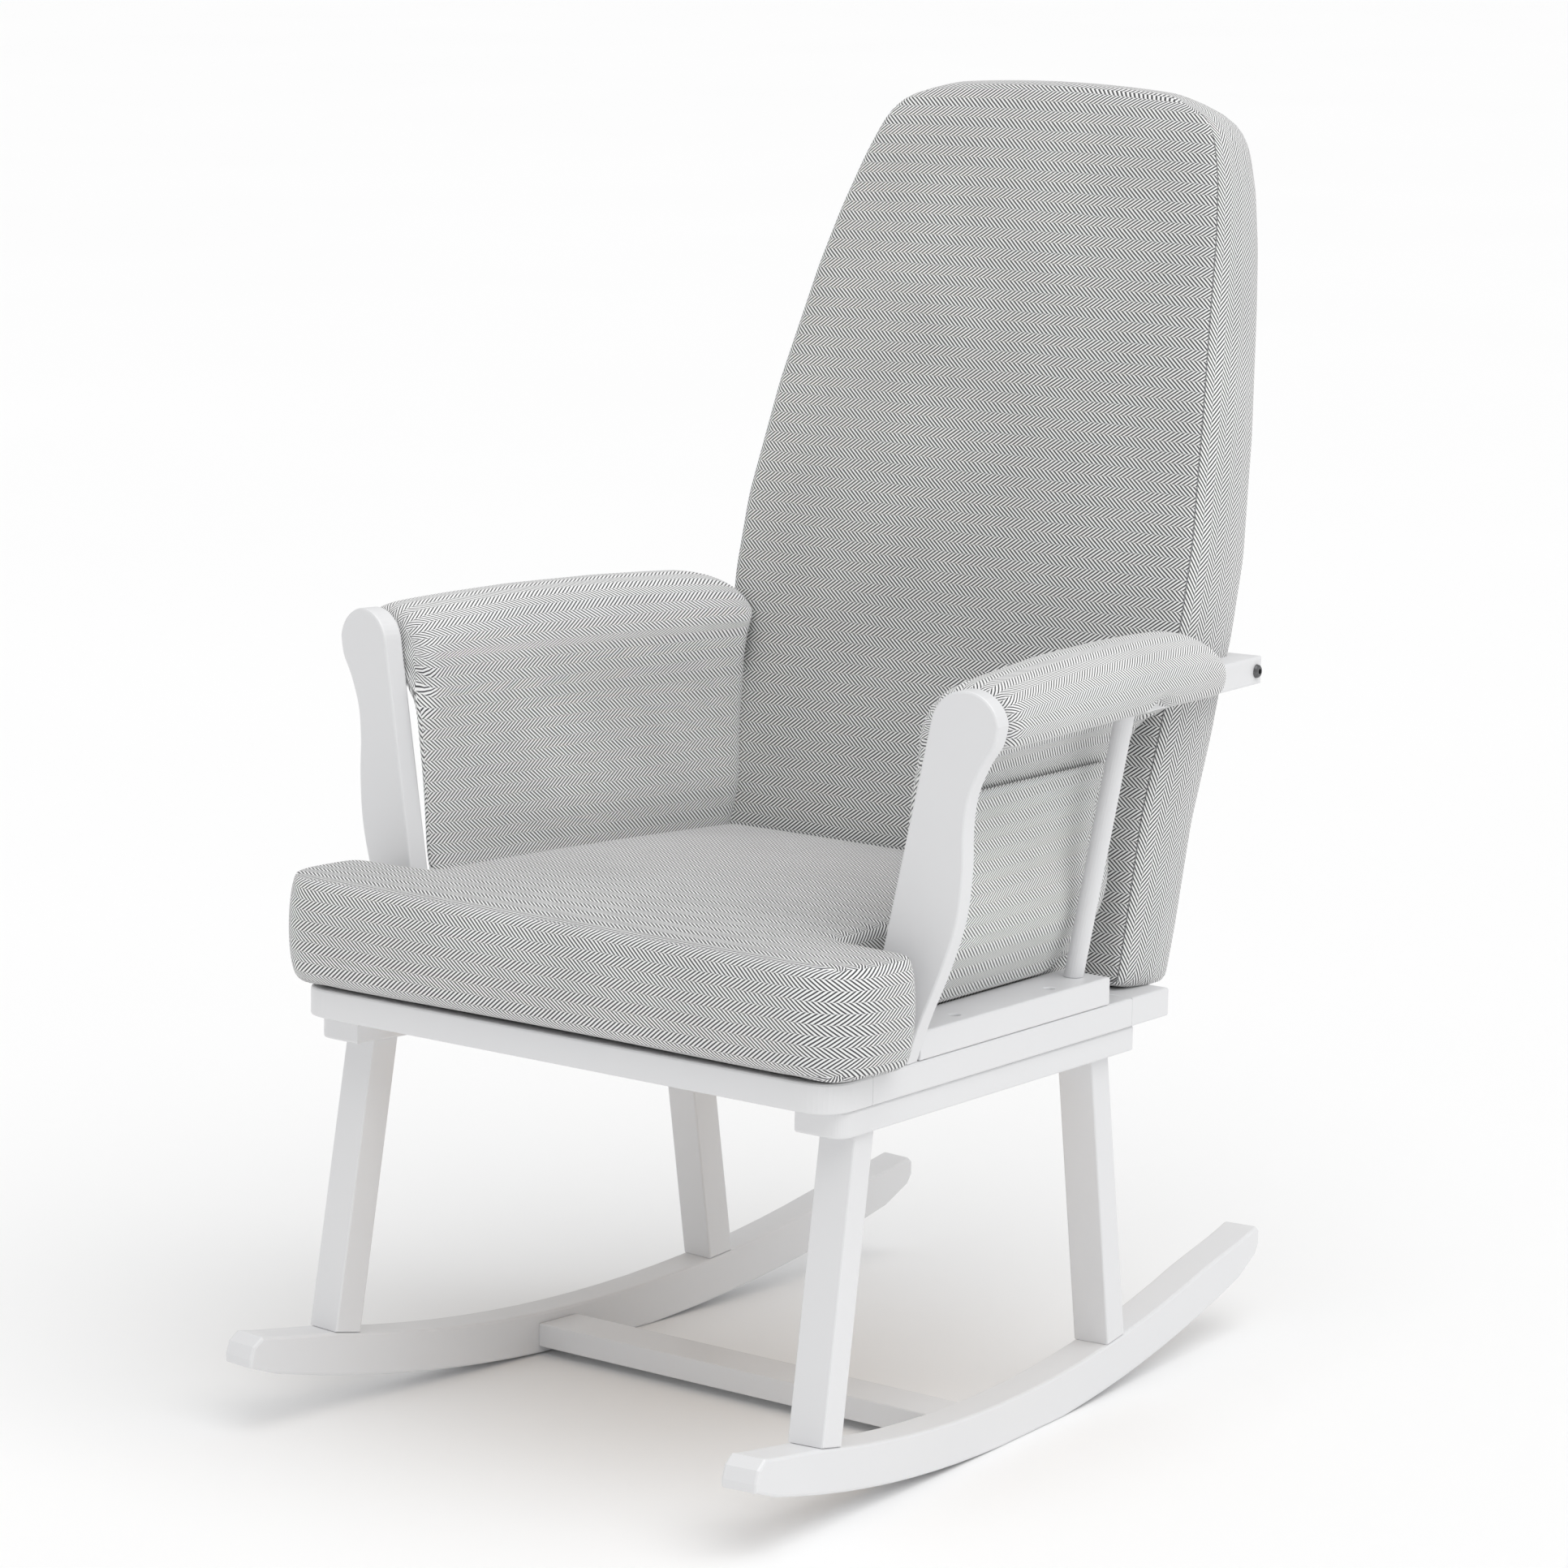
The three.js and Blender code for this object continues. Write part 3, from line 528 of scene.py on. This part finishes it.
# Where this roll begins, and over what width it fills out, as shares of the half width.
REAR_ROLL_START = 0.88
REAR_ROLL_WIDTH = 0.10
REAR_LIFT = 0.011                 # the rear edge of its foot is this much further up the back
BACK_SEAM = 1.0
FAINT_SEAM = 0.90                 # over the top, where the seam hardly shows
FAINT_ABOVE = 1.075


def back_profile(up):
    """The back cushion's half width and thickness at a height up the back."""
    return at_height(BACK_SECTIONS, up, 1), at_height(BACK_SECTIONS, up, 2)


def rear_limit(side, up):
    """How far back the cushion's rear stands: flat over the slats, rolled out at its sides."""
    edge = min(1.0, max(0.0, (abs(side) - REAR_ROLL_START) / REAR_ROLL_WIDTH))
    return -REAR_GAP + at_height(REAR_ROLL, up) * edge


def flatten_rear(piece):
    """Draws the back cushion's rear panel taut over the slats."""
    for vertex in piece.data.vertices:
        up, rearward = place_on_back(vertex.co)
        past = rearward - rear_limit(vertex.co.x / back_profile(up)[0], up)
        if past > 0:
            move_forward(vertex.co, past)
    piece.data.update()


def build_back_cushion(material, boxing):
    panels = Panels()
    rear_of = {}
    front_rows = []
    rear_rows = []
    for j in range(BACK_ROWS + 1):
        height = j / BACK_ROWS
        level = lerp(BACK_BOTTOM, BACK_TOP, height)
        half, thick = back_profile(level)
        front_row = []
        rear_row = []
        for i in range(BACK_COLUMNS + 1):
            side = 2 * i / BACK_COLUMNS - 1
            arch = 1 - side ** 2
            up = level + BACK_TOP_CROWN * arch * height ** 6
            crown = BACK_FRONT_CROWN * (arch * math.sin(math.pi * j / BACK_ROWS) ** 0.5)
            lifted = up + REAR_LIFT * (1 - height) ** 8
            front = back_point(half * side, up, -thick - crown)
            rear = back_point((half - REAR_TUCK) * side, lifted, rear_limit(side, up))
            front_row.append(panels.point(front))
            rear_row.append(panels.point(rear))
            rear_of[front_row[-1]] = rear_row[-1]
        front_rows.append(front_row)
        rear_rows.append(rear_row)

    def weave_at(i, j):
        up = lerp(BACK_BOTTOM, BACK_TOP, j / BACK_ROWS)
        return back_profile(up)[0] * (2 * i / BACK_COLUMNS - 1), up
    panels.grid(front_rows, weave_at)
    front_faces = list(panels.faces)
    panels.grid(rear_rows, weave_at, flip=True)
    boxed(panels, front_faces, rear_of, BACK_LAYERS, BACK_BULGE, BACK_SEAM)
    for index in panels.seam:
        if panels.points[index].z > FAINT_ABOVE:
            panels.seam[index] = FAINT_SEAM
    piece = panels.make("back_cushion_cover", material, boxing)
    relax_with_cloth(piece, pressure=3.0, cap=0.008, hold_seams=True)
    flatten_rear(piece)
    finish_soft(piece, "chair", ["back_cushion", "back_cover"])


# ---- seat cushion -------------------------------------------------------------------------------

# The T-shaped plan and the heights above the seat frame's underside, in seat coordinates.
CUSHION = {
    "front": -0.010, "rear": 0.462, "wing_rear": 0.090, "wing_half": 0.307,
    "body_half": 0.2165, "rear_half": 0.192, "bottom": 0.0265, "top": 0.121,
}
CUSHION_FLOOR = 0.0262            # just above the seat frame
CUSHION_ROLLED = 0.006            # how much higher the underside is at its rim
CUSHION_LAYERS = 9
CUSHION_BULGE = 0.006
CUSHION_SEAM = 0.89
# The top's crown: its height, half width, and where along the seat it is and how far it runs.
CROWN = {"height": 0.007, "half_width": 0.26, "middle": 0.23, "half_length": 0.24}
BODY_COLUMNS = 18                 # on each side of the middle
WING_COLUMNS = 7
WING_ROWS = 9
BODY_ROWS = 31
WING_CORNERS = ((CUSHION["front"], -1, 0.045), (CUSHION["wing_rear"], 1, 0.022))


def round_wing(x, y):
    """Draws a wing's square corners in to quarter circles; each faces forward (-1) or back (1)."""
    for corner_y, facing, radius in WING_CORNERS:
        start_x = CUSHION["wing_half"] - radius
        a = (abs(x) - start_x) / radius
        b = ((y - corner_y) * facing + radius) / radius
        if a <= 0 or b <= 0:
            continue
        new_a, new_b = quarter_circle(a, b)
        x = math.copysign(start_x + new_a * radius, x)
        y = corner_y + facing * (new_b * radius - radius)
    return x, y


def cushion_plan():
    """Rows of (x, y) over the T-shaped cushion; None outside it."""
    rows = []
    for j in range(WING_ROWS + BODY_ROWS + 1):
        in_wings = j <= WING_ROWS
        if in_wings:
            y = lerp(CUSHION["front"], CUSHION["wing_rear"], j / WING_ROWS)
            half = CUSHION["body_half"]
        else:
            t = (j - WING_ROWS) / BODY_ROWS
            y = lerp(CUSHION["wing_rear"], CUSHION["rear"], t)
            half = lerp(CUSHION["body_half"], CUSHION["rear_half"], t)
        row = []
        for i in range(-BODY_COLUMNS - WING_COLUMNS, BODY_COLUMNS + WING_COLUMNS + 1):
            if abs(i) <= BODY_COLUMNS:
                row.append((half * i / BODY_COLUMNS, y))
            elif in_wings:
                wing = (abs(i) - BODY_COLUMNS) / WING_COLUMNS
                x = math.copysign(lerp(half, CUSHION["wing_half"], wing), i)
                row.append(round_wing(x, y))
            else:
                row.append(None)
        rows.append(row)
    return rows


def build_seat_cushion(material, boxing):
    panels = Panels()
    rear_of = {}
    plan = cushion_plan()
    top_rows = []
    bottom_rows = []
    for row in plan:
        top_row = []
        bottom_row = []
        for place in row:
            if place is None:
                top_row.append(None)
                bottom_row.append(None)
                continue
            x, y = place
            across = min(1.0, abs(x) / CROWN["half_width"])
            along = (y - CROWN["middle"]) / CROWN["half_length"]
            crown = CROWN["height"] * (1 - across ** 2) * max(0.0, 1 - along ** 2)
            top_row.append(panels.point(seat_point(x, y, CUSHION["top"] + crown)))
            bottom_row.append(panels.point(seat_point(x, y, CUSHION["bottom"])))
            rear_of[top_row[-1]] = bottom_row[-1]
        top_rows.append(top_row)
        bottom_rows.append(bottom_row)

    def weave_at(i, j):
        x, y = plan[j][i]
        return x, y
    panels.grid(top_rows, weave_at)
    top_faces = list(panels.faces)
    panels.grid(bottom_rows, weave_at, flip=True)
    for index in boundary_loop(top_faces):
        panels.points[rear_of[index]].z += CUSHION_ROLLED
    boxed(panels, top_faces, rear_of, CUSHION_LAYERS, CUSHION_BULGE, CUSHION_SEAM)
    piece = panels.make("seat_cushion_cover", material, boxing)
    relax_with_cloth(piece, pressure=3.0, cap=0.007, hold_seams=True)
    flatten_underside(piece)
    finish_soft(piece, "cushion", ["seat_cushion"])


def flatten_underside(piece):
    """Flattens the cushion's underside where it lies on the seat frame."""
    up = Vector((0, math.sin(SEAT_TILT), math.cos(SEAT_TILT)))
    base = seat_point(0, 0, CUSHION_FLOOR)
    for vertex in piece.data.vertices:
        height = (vertex.co - base).dot(up)
        if height < 0:
            vertex.co -= up * height
    piece.data.update()


# ---- arm covers ---------------------------------------------------------------------------------

ARM_STATIONS = 44
PAD_START = 0.002
PAD_LENGTH = 0.410
END_SKEW = 0.20                   # the roll ends sooner on its outer side
ROLL_INSIDE = -0.050              # the roll's seat side, where the skew begins
RAIL_MIDDLE = 0.300
ROLL_FULL = 0.344                 # height of the roll's top in the section below
# Section of the roll round the rail, from its outer lower lip over the top to the seat's side:
# across the rail and up from the seat frame's underside.
ROLL = [
    (0.016, 0.2840), (0.027, 0.2825), (0.034, 0.2870), (0.0370, 0.2970), (0.0375, 0.3090),
    (0.0355, 0.3210), (0.030, 0.3320), (0.021, 0.3400), (0.009, 0.3440), (-0.004, 0.3450),
    (-0.016, 0.3430), (-0.027, 0.3380), (-0.036, 0.3310), (-0.043, 0.3220), (-0.049, 0.3120),
    (-0.0535, 0.3010),
]
# The roll's underside, from the panel's outer skin out to the lip.
UNDERSIDE = ((-0.026, 0.2735), (-0.014, 0.2785), (0.004, 0.2798))
# Height of the roll's top along the arm.
ROLL_TOP = np.array([
    (0.000, 0.334), (0.030, 0.338), (0.080, 0.341), (0.150, 0.344), (0.250, 0.3445),
    (0.300, 0.3435), (0.345, 0.342), (0.370, 0.338), (0.388, 0.331), (0.401, 0.322), (0.410, 0.310),
])
# The skin on the seat's side: height and how far out it is at SKIN_FRONT.
SKIN_FRONT = 0.122
INNER_SKIN = np.array([
    (0.050, 0.219), (0.058, 0.221), (0.080, 0.232), (0.100, 0.242), (0.130, 0.2497), (0.150, 0.251),
    (0.190, 0.2554), (0.230, 0.2596), (0.270, 0.2622), (0.280, 0.2635), (0.290, 0.2650), (0.301, 0.2674),
])
# Thickness of the hanging side panel, and its rear edge, both by height.
PANEL_THICKNESS = np.array([(0.050, 0.012), (0.090, 0.013), (0.200, 0.014), (0.270, 0.020)])
PANEL_REAR = np.array([
    (0.050, 0.405), (0.061, 0.432), (0.083, 0.460), (0.120, 0.481), (0.147, 0.484),
    (0.208, 0.490), (0.252, 0.499), (0.273, 0.505), (0.290, 0.511), (0.300, 0.520),
])
# Heights between which the panel turns from the seat frame's slope to the arm's.
SKIN_TURN = (0.058, 0.150)
PANEL_FRONT = 0.1235
PANEL_EVEN = [0.246 - 0.0135 * k for k in range(13)]
PANEL_HEIGHTS = [0.290, 0.280, 0.270, 0.258, *PANEL_EVEN, 0.072, 0.062]
PANEL_HEM = 0.052                 # height of the panel's lower edge
HEM_OUT = 0.003
IN_ROLL = 3                       # so many of the panel's heights have no outer skin: they are in the roll
# The panel's front edge is drawn in under the roll: by how much, at what height, over what height.
TUCK = {"depth": 0.006, "height": 0.272, "spread": 0.006}
# How full the ends are, and the distance over which they fill out.
ROLL_FRONT_END = (0.90, 0.010)
ROLL_OUTER_END = (0.80, 0.014)
ROLL_INNER_END = (0.90, 0.030)
PANEL_END = (0.25, 0.011)
# The slot in the roll's outer lip round the spindle: from and to along the arm, and its roof.
SLOT = (0.262, 0.294)
SLOT_ROOF = 0.2955
LIP_POINTS = 3
# How far from the back cushion's sides and front the cover is laid, before both swell.
CLEAR_ASIDE = 0.010
CLEAR_FORWARD = 0.007


def rail_place(across, along, height):
    return arm_point(RAIL_ACROSS + across, PAD_START + along, height)


def inner_skin(y, height):
    """How far out the side panel's skin on the seat's side is."""
    slope = np.interp(height, SKIN_TURN, [SEAT_SLOPE, math.tan(ARM_TURN)])
    return at_height(INNER_SKIN, height) - slope * (y - SKIN_FRONT)


def outer_skin(y, height):
    """How far out the side panel's outer skin is."""
    return inner_skin(y, height) + at_height(PANEL_THICKNESS, height)


def fullness(distance, end):
    """How full a soft edge is, at a distance in from its end."""
    least, radius = end
    t = min(1.0, max(0.0, distance / radius))
    return least + (1 - least) * math.sqrt(1 - (1 - t) ** 2)


def roll_points(t, outer_full, inner_full, front_full):
    """The roll's section at a share t of the arm's length."""
    along = t * PAD_LENGTH
    rise = (at_height(ROLL_TOP, along) - RAIL_MIDDLE) / (ROLL_FULL - RAIL_MIDDLE)
    in_slot = SLOT[0] < along < SLOT[1]
    points = []
    for k, (across, height) in enumerate(ROLL):
        if in_slot and k < LIP_POINTS:
            height = max(height, SLOT_ROOF)
        if height > RAIL_MIDDLE:
            height = RAIL_MIDDLE + (height - RAIL_MIDDLE) * rise * front_full
        full = outer_full if across > 0 else inner_full
        reach = along - t * END_SKEW * (across - ROLL_INSIDE)
        points.append(rail_place(across * full, reach, height))
    return points


def panel_points(t):
    """The panel's two skins at a share t of its length, each from the top down."""
    inside, outside = [], []
    for height in PANEL_HEIGHTS:
        tuck = math.exp(-((height - TUCK["height"]) / TUCK["spread"]) ** 2)
        front = PANEL_FRONT + TUCK["depth"] * tuck
        rear = at_height(PANEL_REAR, height)
        y = lerp(front, rear, t)
        full = fullness(min(y - front, rear - y), PANEL_END)
        middle = (inner_skin(y, height) + outer_skin(y, height)) / 2
        half = at_height(PANEL_THICKNESS, height) / 2 * full
        inside.append((middle - half, y, height))
        outside.append((middle + half, y, height))
    return inside, outside


def arm_ring(t):
    """One ring round the roll and down both sides of the panel, in seat coordinates."""
    along = t * PAD_LENGTH
    front_full = fullness(along, ROLL_FRONT_END)
    outer_full = min(front_full, fullness(PAD_LENGTH - along, ROLL_OUTER_END))
    inner_full = min(front_full, fullness(PAD_LENGTH - along, ROLL_INNER_END))
    ring = roll_points(t, outer_full, inner_full, front_full)
    inside, outside = panel_points(t)
    ring.extend(inside)
    low_y = inside[-1][1]
    ring.append((inner_skin(low_y, PANEL_HEM) + HEM_OUT, low_y, PANEL_HEM))
    ring.extend(reversed(outside[IN_ROLL:]))
    for across, height in UNDERSIDE:
        ring.append(rail_place(across * inner_full, along, height))
    return ring


def clear_of_back(place):
    """Keeps a seat-coordinate point of the right arm beside or before the back cushion."""
    point = seat_point(*place)
    up, rearward = place_on_back(point)
    half, thick = back_profile(up)
    aside = half + CLEAR_ASIDE - abs(point.x)
    forward = rearward + thick + CLEAR_FORWARD
    if aside > 0 and forward > 0:
        if aside < forward:
            point.x = half + CLEAR_ASIDE
        else:
            move_forward(point, forward)
    return point


def build_arm_cover(side, material):
    panels = Panels()
    rows = []
    rings = []
    for k in range(ARM_STATIONS + 1):
        rings.append([clear_of_back(place) for place in arm_ring(k / ARM_STATIONS)])
    middle = rings[ARM_STATIONS // 2]
    lengths = [0.0]
    for a, b in zip(middle, middle[1:] + middle[:1]):
        lengths.append(lengths[-1] + (b - a).length)
    for ring in rings:
        row = [panels.point((side * p.x, p.y, p.z)) for p in ring]
        rows.append(row + row[:1])

    def weave_at(i, j):
        return j / ARM_STATIONS * PAD_LENGTH, lengths[i]
    panels.grid(rows, weave_at, flip=side < 0)
    for k, backwards in ((0, side > 0), (ARM_STATIONS, side < 0)):
        cap_end(panels, rows[k][:-1], backwards)
    name = "right" if side > 0 else "left"
    piece = panels.make(f"arm_cover_{name}", material)
    relax_with_cloth(piece, pressure=1.0, cap=0.0015)
    settle(piece, 3)
    replaced = [f"arm_{part}_{name}" for part in ("pad", "panel", "strap_front", "strap_rear")]
    finish_soft(piece, "chair", replaced)


def cap_end(panels, ring, backwards):
    """Closes an arm cover's end: a fan over the roll, strips across the panel's thin edge."""
    roll = len(ROLL)
    hem = roll + len(PANEL_HEIGHTS)
    inside = ring[roll:hem]
    outside = list(reversed(ring[hem + 1:-len(UNDERSIDE)]))
    underside = ring[-len(UNDERSIDE):]
    fan = ring[:roll] + inside[:IN_ROLL + 1] + underside
    centre = panels.point(sum((panels.points[i] for i in fan), Vector()) / len(fan))
    for a, b in zip(fan, fan[1:] + fan[:1]):
        add_cap_face(panels, [centre, a, b], backwards)
    hanging = inside[IN_ROLL:]
    add_cap_face(panels, [hanging[0], outside[0], underside[0]], not backwards)
    for k in range(len(hanging) - 1):
        strip = [hanging[k], hanging[k + 1], outside[k + 1], outside[k]]
        add_cap_face(panels, strip, backwards)
    add_cap_face(panels, [hanging[-1], ring[hem], outside[-1]], backwards)


def add_cap_face(panels, face, backwards):
    if backwards:
        face = list(reversed(face))
    panels.faces.append(face)
    panels.weave.append([(panels.points[i].z, panels.points[i].x) for i in face])


# ---- pockets ------------------------------------------------------------------------------------

POCKET_FRONT = 0.150
POCKET_REAR = np.array([(0.054, 0.412), (0.090, 0.419), (0.158, 0.430), (0.236, 0.440)])
POCKET_LOW = 0.051
POCKET_HIGH = 0.236
POCKET_CORNER = 0.030
POCKET_COLUMNS = 26
POCKET_ROWS = 22
POCKET_SAG = 0.006                # how much lower the open edge is at the rear
POCKET_INNER = 0.0006             # how far the inner and the outer cloth stand off the panel
POCKET_OUTER = 0.0022
BELLY = 0.0045
HEM = {"above": 0.95, "thickness": 0.0018}
CREASE = {"depth": 0.0012, "along": 17, "up": 5}
POCKET_SEAM = 0.90


def build_pocket(side, material):
    """A flat closed bag sewn to the panel's outer side, with a hem along its top edge."""
    panels = Panels()
    inner_rows, outer_rows, plan = [], [], []
    rear_of = {}
    for j in range(POCKET_ROWS + 1):
        inner, outer, flat = [], [], []
        for i in range(POCKET_COLUMNS + 1):
            a, b = i / POCKET_COLUMNS, j / POCKET_ROWS
            height = lerp(POCKET_LOW, POCKET_HIGH - POCKET_SAG * a, b)
            y = lerp(POCKET_FRONT, at_height(POCKET_REAR, height), a)
            y, height = round_low_corner(y, height)
            flat.append((y, height))
            base = outer_skin(y, height)
            for out, row in ((POCKET_INNER, inner), (pocket_stand(a, b), outer)):
                p = seat_point(base + out, y, height)
                row.append(panels.point((side * p.x, p.y, p.z)))
        inner_rows.append(inner)
        outer_rows.append(outer)
        plan.append(flat)
        rear_of.update(zip(outer, inner))

    def weave_at(i, j):
        return plan[j][i]
    panels.grid(outer_rows, weave_at, flip=side < 0)
    outer_faces = list(panels.faces)
    panels.grid(inner_rows, weave_at, flip=side > 0)
    rim = boundary_loop(outer_faces)
    rows = [rim + rim[:1], [rear_of[i] for i in rim + rim[:1]]]
    panels.grid(rows, lambda i, j: (0.008 * i, 0.004 * j), flip=True)
    panels.seam.update({index: POCKET_SEAM for index in outer_rows[-2]})
    name = "right" if side > 0 else "left"
    piece = panels.make(f"arm_pocket_cover_{name}", material)
    finish_soft(piece, "chair", [f"arm_pocket_{name}"])


def pocket_stand(a, b):
    """How far the outer cloth stands off the panel, at shares a of its length and b of its height."""
    belly = math.sin(math.pi * a) * math.sin(math.pi * min(1.0, b * 1.04)) ** 0.7
    hem = HEM["thickness"] if b > HEM["above"] else 0.0
    crease = CREASE["depth"] * math.sin(CREASE["along"] * a + CREASE["up"] * b) * b
    return POCKET_OUTER + BELLY * belly + hem + crease * belly


def round_low_corner(y, height):
    """Rounds the pocket's lower rear corner."""
    corner_y = at_height(POCKET_REAR, POCKET_LOW)
    start_y, start_height = corner_y - POCKET_CORNER, POCKET_LOW + POCKET_CORNER
    a = (y - start_y) / POCKET_CORNER
    b = (start_height - height) / POCKET_CORNER
    if a <= 0 or b <= 0:
        return y, height
    new_a, new_b = quarter_circle(a, b)
    return start_y + new_a * POCKET_CORNER, start_height - new_b * POCKET_CORNER


# ---- stage --------------------------------------------------------------------------------------

CAMERA_AZIMUTH = math.radians(38.982)
CAMERA_ELEVATION = math.radians(10.930)
CAMERA_DISTANCE = 4.9775
CAMERA_LENS = 134.17
FLOOR_HALF = 60.0
SURROUNDINGS = 0.60
KEY_ENERGY = 1.66
KEY_SPREAD = math.radians(70)
KEY_ELEVATION = math.radians(64)
KEY_AZIMUTH = math.radians(-8)


def build_camera():
    """Looks at the chair from its front right, a little from above."""
    target = Vector((-0.0073, -CENTRING, 0.5282))
    back = Vector((
        math.sin(CAMERA_AZIMUTH) * math.cos(CAMERA_ELEVATION),
        -math.cos(CAMERA_AZIMUTH) * math.cos(CAMERA_ELEVATION),
        math.sin(CAMERA_ELEVATION),
    ))
    data = bpy.data.cameras.new("camera")
    data.sensor_width = 36.0
    data.lens = CAMERA_LENS
    data.clip_end = 200.0
    camera = bpy.data.objects.new("camera", data)
    camera.location = target + back * CAMERA_DISTANCE
    camera.rotation_euler = back.to_track_quat("Z", "Y").to_euler()
    bpy.context.scene.collection.objects.link(camera)
    bpy.context.scene.camera = camera


def build_floor():
    """Wide plain floor."""
    mesh = bpy.data.meshes.new("floor")
    corners = [(FLOOR_HALF * x, FLOOR_HALF * y, 0) for x, y in ((-1, -1), (1, -1), (1, 1), (-1, 1))]
    mesh.from_pydata(corners, [], [(0, 1, 2, 3)])
    mesh.materials.append(floor_material())
    floor = bpy.data.objects.new("floor", mesh)
    bpy.context.scene.collection.objects.link(floor)


def build_lights():
    """White surroundings, and one very soft light from above and from the +X side."""
    world = bpy.data.worlds.new("studio")
    world.use_nodes = True
    background = world.node_tree.nodes["Background"]
    background.inputs["Color"].default_value = (1.0, 1.0, 1.0, 1.0)
    background.inputs["Strength"].default_value = SURROUNDINGS
    bpy.context.scene.world = world
    data = bpy.data.lights.new("soft_key", "SUN")
    data.energy = KEY_ENERGY
    data.angle = KEY_SPREAD
    light = bpy.data.objects.new("soft_key", data)
    direction = Vector((
        math.cos(KEY_ELEVATION) * math.cos(KEY_AZIMUTH),
        math.cos(KEY_ELEVATION) * math.sin(KEY_AZIMUTH),
        math.sin(KEY_ELEVATION),
    ))
    light.rotation_euler = direction.to_track_quat("Z", "Y").to_euler()
    bpy.context.scene.collection.objects.link(light)


def dress_frame():
    """Better materials for the CAD pieces that stay."""
    finishes = {
        "white_paint": paint_material(),
        "bare_wood": bare_wood_material(),
        "steel": steel_material(),
    }
    slots = {entry["node"]: entry["material_slot"] for entry in frame["record"]["subparts"]}
    recess_shade = painted_recess_shade_material()
    for name, node in frame["nodes"].items():
        if slots[name] not in finishes:
            continue
        # The base rail's screw heads carry the painted shade of their recesses.
        material = recess_shade if name.startswith("base_rail_screw") else finishes[slots[name]]
        for material_slot in node.material_slots:
            material_slot.material = material


# ---- the chair ----------------------------------------------------------------------------------

build_camera()
build_floor()
build_lights()
dress_frame()

# One herringbone cloth in four copies, with the light share set part by part to match how bright each part
# looks: the seat's darker copy is painted shade, the arms' lighter copy is painted light.
back_cloth = herringbone_material("herringbone_back_cloth", 0.55)
boxing_cloth = herringbone_material("herringbone_boxing_cloth", 0.57)
seat_cloth_painted_shade = herringbone_material("herringbone_seat_cloth_painted_shade", 0.49)
arm_cloth_painted_light = herringbone_material("herringbone_arm_cloth_painted_light", 0.62)
build_back_cushion(back_cloth, boxing_cloth)
build_seat_cushion(seat_cloth_painted_shade, boxing_cloth)
for side in (-1, 1):
    build_arm_cover(side, arm_cloth_painted_light)
    build_pocket(side, arm_cloth_painted_light)

# The plain view transform keeps the stage's paper white.
bpy.context.scene.view_settings.view_transform = "Standard"
